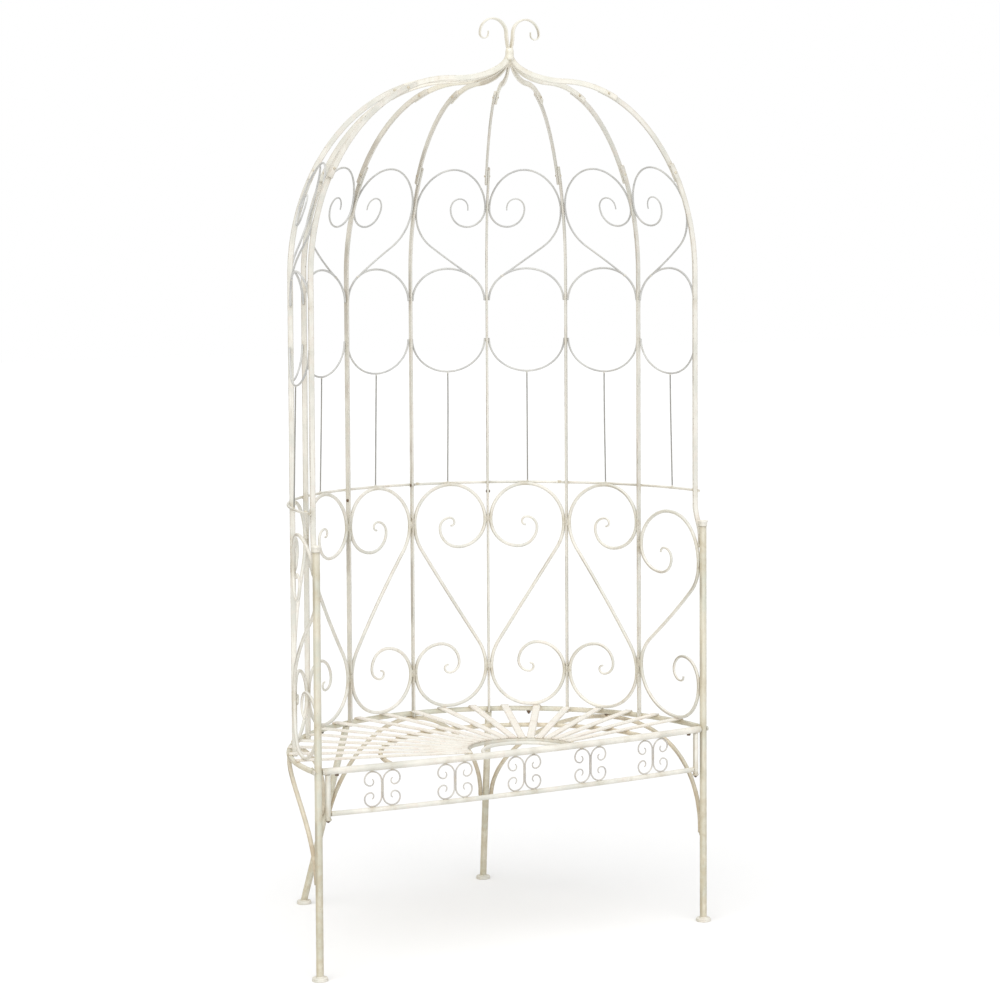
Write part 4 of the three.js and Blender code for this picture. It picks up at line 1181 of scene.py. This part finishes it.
def linear(hex_colour):
    """An sRGB hex colour as linear red, green and blue with full alpha."""
    channels = np.array([int(hex_colour[i : i + 2], 16) for i in (1, 3, 5)]) / 255
    low = channels <= 0.04045
    return (*np.where(low, channels / 12.92, ((channels + 0.055) / 1.055) ** 2.4), 1.0)


def add(tree, kind, inputs=(), output=0, **settings):
    """Adds a node: its settings first, then each input as a value or as the output that feeds it, and
    gives back one of its outputs."""
    made = tree.nodes.new("ShaderNode" + kind)
    for key, value in settings.items():
        setattr(made, key, value)
    for key, value in dict(inputs).items():
        if isinstance(value, bpy.types.NodeSocket):
            tree.links.new(value, made.inputs[key])
        else:
            made.inputs[key].default_value = value
    return made.outputs[output] if made.outputs else made


def fresh(name):
    """A new material with an empty node tree."""
    material = bpy.data.materials.new(name)
    material.use_nodes = True
    material.node_tree.nodes.clear()
    return material, material.node_tree


def old_paint(name, coat, cool, warm, glaze, bare, soiling=1.0, wear=1.0, gloss=0.6, patch=90, lined=0.2,
              flank_shade_amount=0.36):
    """Brushed oil paint on wrought iron, aged with a thin tan glaze. Colour drifts between a warm and a
    cool cream in patches, brush strokes run along each bar, the glaze gathers at welds and laps and
    runs down from them, and along edges and in chips the brown iron comes through. Lined is how much
    darker every edge is, partly worn edges and partly painted shade at the sides of the bars. The last
    argument is painted shade on the flanks of the bars, the faces that look to the left and right: how
    much glaze colour darkens them, and in some long stretches how much bare brown."""
    material, tree = fresh(name)
    place = add(tree, "TexCoord", output="Object")
    grain = add(tree, "Attribute", output="Vector", attribute_name="grain")
    along_bar = add(tree, "Mapping", {"Vector": grain, "Scale": (0.045, 1.0, 1.0)})
    downwards = add(tree, "Mapping", {"Vector": place, "Scale": (1.0, 1.0, 0.14)})
    found = {key: add(tree, "Attribute", output="Fac", attribute_name=key) for key in ("stain", "rub")}
    found["sideways"] = add(tree, "SeparateXYZ", {0: add(tree, "TexCoord", output="Normal")})
    # Each cloud's place, size in millimetres, detail, roughness and warp
    for key, vector, size, detail, rough, warp in (
        ("strokes", along_bar, 1.7, 3.0, 0.6, 0.0), ("patches", place, patch, 3.0, 0.55, 0.0),
        ("mottle", place, 16, 2.0, 0.5, 0.4), ("specks", grain, 2.6, 3.0, 0.65, 0.0),
        ("drips", downwards, 11, 3.0, 0.55, 0.0), ("stretches", place, 150, 1.0, 0.4, 0.0),
    ):
        found[key] = add(tree, "TexNoise", {"Vector": vector, "Scale": METRE / size, "Detail": detail,
                                            "Roughness": rough, "Distortion": warp}, "Fac")
    # A range takes its source from low and high to a start and an end, and the rest is arithmetic
    for key, kind, *terms in (
        ("flank", "ABSOLUTE", "sideways"), ("soil", "MULTIPLY", "stain", soiling),
        ("coated", "RANGE", "patches", 0.38, 0.6, 0.0, 1.0),
        ("warmed", "RANGE", "mottle", 0.48, 0.72, 0.0, 0.6),
        ("brushed", "RANGE", "strokes", 0.4, 0.75, 0.0, 0.22),
        # Painted shade: the flanks of the bars are darkened with the glaze colour and, where they look
        # squarely to the side, with bare brown in long stretches
        ("painted_flank_shade", "RANGE", "flank", 0.5, 1.0, 0.0, flank_shade_amount),
        ("square_on", "RANGE", "flank", 0.6, 0.95, 0.0, 1.0),
        ("flank_shade_stretches", "RANGE", "stretches", 0.5, 0.6, 0.0, flank_shade_amount),
        ("painted_flank_streaks", "MULTIPLY", "square_on", "flank_shade_stretches"),
        ("hold", "RANGE", "mottle", 0.32, 0.64, 0.3, 0.8), ("cling", "MULTIPLY", "soil", "hold"),
        ("runs", "RANGE", "drips", 0.52, 0.7, 0.0, 0.3),
        ("run_patches", "RANGE", "patches", 0.45, 0.62, 0.0, 1.0),
        ("fall", "MULTIPLY", "runs", "run_patches"), ("gathered", "MAXIMUM", "cling", "fall"),
        ("edge_patches", "RANGE", "patches", 0.35, 0.6, 0.2, 1.0),
        # Every edge is darkened towards bare brown in patches: partly worn edges, partly painted shade at
        # the sides of the bars
        ("edge_wear_and_shade", "MULTIPLY", "rub", lined), ("edges_worn_and_shaded", "MULTIPLY", "edge_wear_and_shade", "edge_patches"),
        ("soft_spots", "MULTIPLY_ADD", "soil", 0.08, "specks"),
        ("knocked", "MULTIPLY_ADD", "rub", 0.1 * wear, "soft_spots"),
        ("chips", "RANGE", "knocked", 0.71, 0.75, 0.0, 1.0), ("chipped", "MULTIPLY", "chips", 0.7),
        ("heavy", "RANGE", "soil", 0.7, 1.0, 0.0, 1.0), ("grit", "RANGE", "specks", 0.45, 0.65, 0.0, 0.5),
        ("browned", "MULTIPLY", "heavy", "grit"), ("fine", "MULTIPLY", "specks", 0.25),
        ("ridges", "MULTIPLY_ADD", "strokes", 0.5, "fine"),
        ("height", "MULTIPLY_ADD", "chips", -0.8, "ridges"),
        ("dull", "MULTIPLY_ADD", "chips", 0.4, "mottle"),
        ("roughness", "RANGE", "dull", 0.3, 0.9, gloss - 0.1, gloss + 0.25),
    ):
        sources = enumerate(found.get(term, term) for term in terms)
        if kind == "RANGE":
            found[key] = add(tree, "MapRange", sources, interpolation_type="SMOOTHSTEP")
        else:
            found[key] = add(tree, "Math", sources, operation=kind)
    paint = linear(cool)
    # The glaze colour on the flanks and the bare brown in their stretches are painted shade; the bare brown
    # along the edges is partly wear and partly painted shade
    for key, colour in (
        ("coated", coat), ("warmed", warm), ("brushed", glaze), ("painted_flank_shade", glaze), ("painted_flank_streaks", bare),
        ("gathered", glaze), ("edges_worn_and_shaded", bare), ("chipped", bare), ("browned", bare),
    ):
        paint = add(tree, "Mix", {0: found[key], 6: paint, 7: linear(colour)}, 2, data_type="RGBA")
    bump = add(tree, "Bump", {"Strength": 0.5, "Distance": 0.00022, "Height": found["height"]})
    shader = add(tree, "BsdfPrincipled", {"Base Color": paint, "Roughness": found["roughness"],
                                          "Normal": bump, "IOR": 1.48})
    add(tree, "OutputMaterial", {"Surface": shader})
    return material


def rusted_zinc(name):
    """Zinc-plated bolts gone dull and brown: patches of grey plate left between rust that is rough and
    has no shine."""
    material, tree = fresh(name)
    place = add(tree, "TexCoord", output="Object")
    # Each cloud's size in millimetres, detail and roughness, and the range that it is stretched from
    clouds = ((4, 4.0, 0.65, 0.36, 0.58, 1.0), (0.7, 3.0, 0.6, 0.5, 0.72, 0.6))
    shares = []
    for size, detail, rough, low, high, most in clouds:
        grit = add(tree, "TexNoise", {"Vector": place, "Scale": METRE / size, "Detail": detail,
                                      "Roughness": rough}, "Fac")
        shares.append(add(tree, "MapRange", {0: grit, 1: low, 2: high, 4: most},
                          interpolation_type="SMOOTHSTEP"))
    colour = linear("#8b867c")
    for share, over in zip(shares, ("#6d5138", "#3f2f22")):
        colour = add(tree, "Mix", {0: share, 6: colour, 7: linear(over)}, 2, data_type="RGBA")
    inputs = {"Base Color": colour}
    for key, plate, rust in (("Metallic", 0.75, 0.05), ("Roughness", 0.42, 0.88)):
        inputs[key] = add(tree, "MapRange", {0: shares[0], 3: plate, 4: rust},
                          interpolation_type="SMOOTHSTEP")
    inputs["Normal"] = add(tree, "Bump", {"Strength": 0.6, "Distance": 0.0002, "Height": grit})
    add(tree, "OutputMaterial", {"Surface": add(tree, "BsdfPrincipled", inputs)})
    return material


# Cream oil paint on the bars and tubes: matt, warm, a little greener where it lies thick.
cream = old_paint("antique_cream_oil_paint", "#efece3", "#dddcd3", "#e9e0d6", "#b9b097", "#7a6a58")
# The crown keeps the palest coat, because rain washes it and nothing rubs it.
crown_cream = old_paint("washed_cream_on_crown", "#faf7ed", "#eeede2", "#f3ece0", "#cdc2a4", "#85745f",
                        soiling=0.7)
# The same paint on the posts and legs, handled and weathered more and so a little deeper.
deep_cream = old_paint("weathered_cream_on_posts", "#e1dccb", "#d3d3c4", "#dad2bf", "#b3a686", "#7a6a55")
# The same paint brushed thin on the wires, so that the grey iron shows through it.
thin_cream = old_paint("thin_cream_paint_on_wire", "#d6d3cc", "#c0bdb9", "#d2c8be", "#b0a595", "#7d736b",
                       soiling=0.7, wear=1.2, patch=45, flank_shade_amount=0.3)
# Hardly any paint on the wires higher up, and less on the thinnest.
grey_wire = old_paint("grey_iron_under_wash_on_wire", "#d5d5d1", "#c4c4c2", "#cfccc6", "#aaa69c", "#75706a",
                      soiling=0.5, wear=1.2, patch=50, flank_shade_amount=0.25)
dark_wire = old_paint("dark_iron_under_wash_on_wire", "#9c9a93", "#8c8b87", "#98938a", "#7b776f", "#55514c",
                      soiling=0.5, wear=1.2, patch=50, flank_shade_amount=0.2)
# Paint rubbed back over brown on the pieces that weather hardest: tan with cream left in patches.
rubbed = old_paint("rubbed_cream_over_brown", "#e2dac6", "#d6d0bd", "#d9cbb5", "#ab9878", "#6b5744",
                   soiling=1.1, wear=1.3, gloss=0.66, patch=60)
# Slats are sat on: paler and smoother, faintly pink where the primer shows through.
slat_paint = old_paint("pale_slat_paint", "#faf5ea", "#f4f1e8", "#f5e8df", "#d2c5ab", "#8f7d6c",
                       soiling=0.5, wear=0.9, gloss=0.55, patch=70, lined=0.25, flank_shade_amount=0.0)
bolt_metal = rusted_zinc("rusted_zinc_plate")


# Making the pieces


def make(name, surfaces, material, slot, *nodes):
    """Sets the surfaces into the frame as one mesh that rides with the seat and stands for its nodes."""

    def joined(part):
        """One array of that part of every surface."""
        return np.concatenate([getattr(surface, part) for surface in surfaces])

    points, sizes = joined("points"), joined("sizes")
    starts = np.cumsum([0] + [len(s.points) for s in surfaces[:-1]])
    corners = np.concatenate([s.corners + start for s, start in zip(surfaces, starts)])
    mesh = bpy.data.meshes.new(name)
    mesh.vertices.add(len(points))
    mesh.vertices.foreach_set("co", ((points + [0, AXIS_Y, 0]) / METRE).astype(np.float32).ravel())
    mesh.loops.add(len(corners))
    mesh.loops.foreach_set("vertex_index", corners.astype(np.int32))
    mesh.polygons.add(len(sizes))
    mesh.polygons.foreach_set("loop_start", np.concatenate([[0], np.cumsum(sizes)[:-1]]).astype(np.int32))
    mesh.update(calc_edges=True)
    mesh.polygons.foreach_set("use_smooth", np.ones(len(sizes), bool))
    mesh.set_sharp_from_angle(angle=SHARP_ANGLE)
    for key, kind, field, values in (
        ("grain", "FLOAT_VECTOR", "vector", joined("grain") / METRE),
        ("rub", "FLOAT", "value", joined("rub")), ("stain", "FLOAT", "value", stain_at(points)),
    ):
        layer = mesh.attributes.new(key, kind, "POINT")
        layer.data.foreach_set(field, values.astype(np.float32).ravel())
    mesh.materials.append(material)
    piece = bpy.data.objects.new(name, mesh)
    bpy.context.scene.collection.objects.link(piece)
    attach(piece, "root")
    if nodes:
        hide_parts(*nodes)
    return piece


def make_uprights_and_dome():
    """The uprights with their ribs, and the crown that gathers them."""
    flat = flat_section(BAR_THICKNESS, BAR_DEPTH)
    for index in range(BAY_COUNT + 1):
        number, side = index + 1, tangent_at(index * BAY_ANGLE)
        make(f"flat_upright_{number}", [bar(upright_path(index), side, flat, first=UP)], cream,
             "cream_paint", f"upright_{number}")
        make(f"flat_rib_{number}", [bar(rib_path(index), side, flat)], cream,
             "cream_paint", f"dome_rib_{number}")
    make("crown_arms", crown_arms(), crown_cream, "worn_paint", "crown")
    make("crown_hub", hub(), crown_cream, "worn_paint", "crown")
    for name, sign in SIDES.items():
        make(f"finial_scroll_{name}", finial_scroll(sign), crown_cream, "worn_paint", "crown")


def make_screen():
    """The tie ring with its wires and loops, the back scrolls and the hearts."""
    make("tie_ring_bar", tie_ring(), cream, "cream_paint", "tie_ring")
    make("tie_ring_tabs", ring_tabs(), rubbed, "cream_paint")
    make("tie_wires", tie_wires(), dark_wire, "cream_paint", "tie_ring")
    make("tie_loops", tie_loops(), grey_wire, "cream_paint", "tie_ring")
    for bay in range(BAY_COUNT):
        make(f"s_scroll_{bay + 1}", back_scroll(bay), cream, "cream_paint", f"back_scroll_{bay + 1}")
        make(f"heart_curl_{bay + 1}", heart(bay), grey_wire, "cream_paint", f"heart_{bay + 1}")


def make_seat():
    """The front rail, the hoops, the slats and the seat bolts."""
    make("front_seat_rail", front_rail(), cream, "cream_paint", "front_rail")
    make("rim_hoop", seat_rim(), deep_cream, "cream_paint", "seat_rim")
    mid = hoop(MID_HOOP_RADIUS, MID_HOOP_BAR, HOOP_TOP - MID_HOOP_BAR / 2)
    make("mid_hoop", [mid], rubbed, "cream_paint", "seat_mid_hoop")
    innermost = hoop(INNERMOST_HOOP_RADIUS, INNERMOST_HOOP_BAR, HOOP_TOP - INNERMOST_HOOP_BAR / 2)
    make("innermost_hoop", [innermost], cream, "cream_paint", "seat_inner_hoop")
    inner = hoop(INNER_HOOP_RADIUS, INNER_HOOP_BAR, HOOP_TOP + FIT_GAP + WELD_BITE - INNER_HOOP_BAR / 2)
    make("inner_hoop", [inner], cream, "slat_paint", "seat_slats")
    make("slats", [slat(i) for i in range(SLAT_COUNT)], slat_paint, "slat_paint", "seat_slats")
    for name, sign in SIDES.items():
        make(f"seat_bolt_head_{name}", seat_bolt(sign), cream, "bolt_steel", f"seat_bolt_{name}")


def make_legs():
    """The posts, legs, feet, apron and leg arches."""
    for name, sign in SIDES.items():
        make(f"post_tube_{name}", front_post(sign), deep_cream, "cream_paint", f"front_post_{name}")
        make(f"post_plug_{name}", post_cap(sign), cream, "worn_paint", f"post_cap_{name}")
        make(f"leg_tube_{name}", back_leg(sign), deep_cream, "cream_paint", f"back_leg_{name}")
        make(f"apron_tube_{name}", apron_end(sign), cream, "cream_paint", f"apron_end_{name}")
    for name, place in foot_places().items():
        make(f"foot_{name}", foot_disc(place), cream, "worn_paint", f"foot_disc_{name}")
    make("apron_bar", apron_rail(), cream, "cream_paint", "apron_rail")
    make("apron_curls", ornaments(), thin_cream, "cream_paint", "apron_rail")
    front, near, far = arch_feet()
    make("arch_bar_right", leg_arch(front, near), rubbed, "worn_paint", "leg_arch_right")
    make("arch_bar_back", leg_arch(far, mirrored(far)), rubbed, "worn_paint", "leg_arch_back")
    make("arch_bar_left", leg_arch(mirrored(near), mirrored(front)), rubbed, "worn_paint", "leg_arch_left")


def make_fixings():
    """The weld beads, bolts and nuts."""
    make("weld_beads_below", weld_beads(0, SLAT_TOP), rubbed, "worn_paint")
    make("weld_beads_above", weld_beads(SLAT_TOP, DOME_TOP), cream, "cream_paint")
    make("foot_welds", collars(), cream, "worn_paint")
    make("lap_bolts", lap_bolts(), rubbed, "worn_paint")
    make("splice_bolts", splice_bolts(), bolt_metal, "bolt_steel")
    make("seat_fixings", seat_fixings(), bolt_metal, "bolt_steel")


# Camera, floor and light

CAMERA_PLACE = np.array([-2.786, -5.2302, 1.556])
CAMERA_YAW = math.radians(29.09)
CAMERA_PITCH = math.radians(3.32)
CAMERA_ROLL = math.radians(-0.31)
CAMERA_LENS = 92.77
CAMERA_SHIFT_Y = -0.1001
ROOM_LIGHT = 0.58
KEY_LIGHT = 2.0
KEY_WIDTH = math.radians(75)
KEY_WAY = np.array([0.6, 0.75, -1.1])
FLOOR_REACH = 30.0


def stand(name, data, right, above, place=(0, 0, 0)):
    """A camera or lamp that looks against right cross above, from its place."""
    turn = np.eye(4)
    turn[:3] = np.stack([right, above, np.cross(right, above), place], -1)
    made = bpy.data.objects.new(name, data)
    made.matrix_world = Matrix(turn.tolist())
    bpy.context.scene.collection.objects.link(made)
    return made


def make_camera():
    """Stands where the photograph was taken: turned by yaw, tipped down by pitch, rolled a little."""
    level = np.array([math.sin(CAMERA_YAW), math.cos(CAMERA_YAW), 0])
    right = np.array([math.cos(CAMERA_YAW), -math.sin(CAMERA_YAW), 0])
    above = UP * math.cos(CAMERA_PITCH) + level * math.sin(CAMERA_PITCH)
    x = right * math.cos(CAMERA_ROLL) + above * math.sin(CAMERA_ROLL)
    y = above * math.cos(CAMERA_ROLL) - right * math.sin(CAMERA_ROLL)
    data = bpy.data.cameras.new("camera")
    data.lens, data.sensor_width, data.shift_y = CAMERA_LENS, 36, CAMERA_SHIFT_Y
    bpy.context.scene.camera = stand("camera", data, x, y, CAMERA_PLACE)


def make_floor():
    """A wide pale floor whose edge is lost in the white behind it."""
    mesh = bpy.data.meshes.new("floor")
    corners = [(x * FLOOR_REACH, y * FLOOR_REACH, 0) for x, y in ((-1, -1), (1, -1), (1, 1), (-1, 1))]
    mesh.from_pydata(corners, [], [(0, 1, 2, 3)])
    material, tree = fresh("matt_white_floor")
    seen = add(tree, "LightPath", output="Is Camera Ray")
    white = add(tree, "Mix", {0: seen, 6: (0.9, 0.9, 0.9, 1), 7: (1, 1, 1, 1)}, 2, data_type="RGBA")
    add(tree, "OutputMaterial", {"Surface": add(tree, "BsdfDiffuse", {"Color": white})})
    mesh.materials.append(material)
    floor = bpy.data.objects.new("floor", mesh)
    bpy.context.scene.collection.objects.link(floor)


def make_light():
    """An even white room, white where the camera and reflections look past the seat, and one wide soft
    light from above and a little to the left of the camera."""
    world = bpy.data.worlds.new("white_room")
    bpy.context.scene.world = world
    world.use_nodes = True
    tree = world.node_tree
    tree.nodes.clear()
    seen = add(tree, "LightPath", output="Is Camera Ray")
    for ray in ("Is Glossy Ray", "Is Transmission Ray"):
        seen = add(tree, "Math", {0: seen, 1: add(tree, "LightPath", output=ray)}, operation="MAXIMUM")
    strength = add(tree, "MapRange", {0: seen, 3: ROOM_LIGHT, 4: 1.0})
    backdrop = add(tree, "Background", {"Color": (1, 1, 1, 1), "Strength": strength})
    add(tree, "OutputWorld", {"Surface": backdrop})
    sun = bpy.data.lights.new("soft_key", "SUN")
    sun.energy, sun.angle = KEY_LIGHT, KEY_WIDTH
    side = unit(np.cross(KEY_WAY, UP))
    stand("soft_key", sun, side, np.cross(side, unit(KEY_WAY)))


make_uprights_and_dome()
make_screen()
make_seat()
make_legs()
make_fixings()
make_camera()
make_floor()
make_light()
bpy.context.scene.view_settings.view_transform = "Standard"
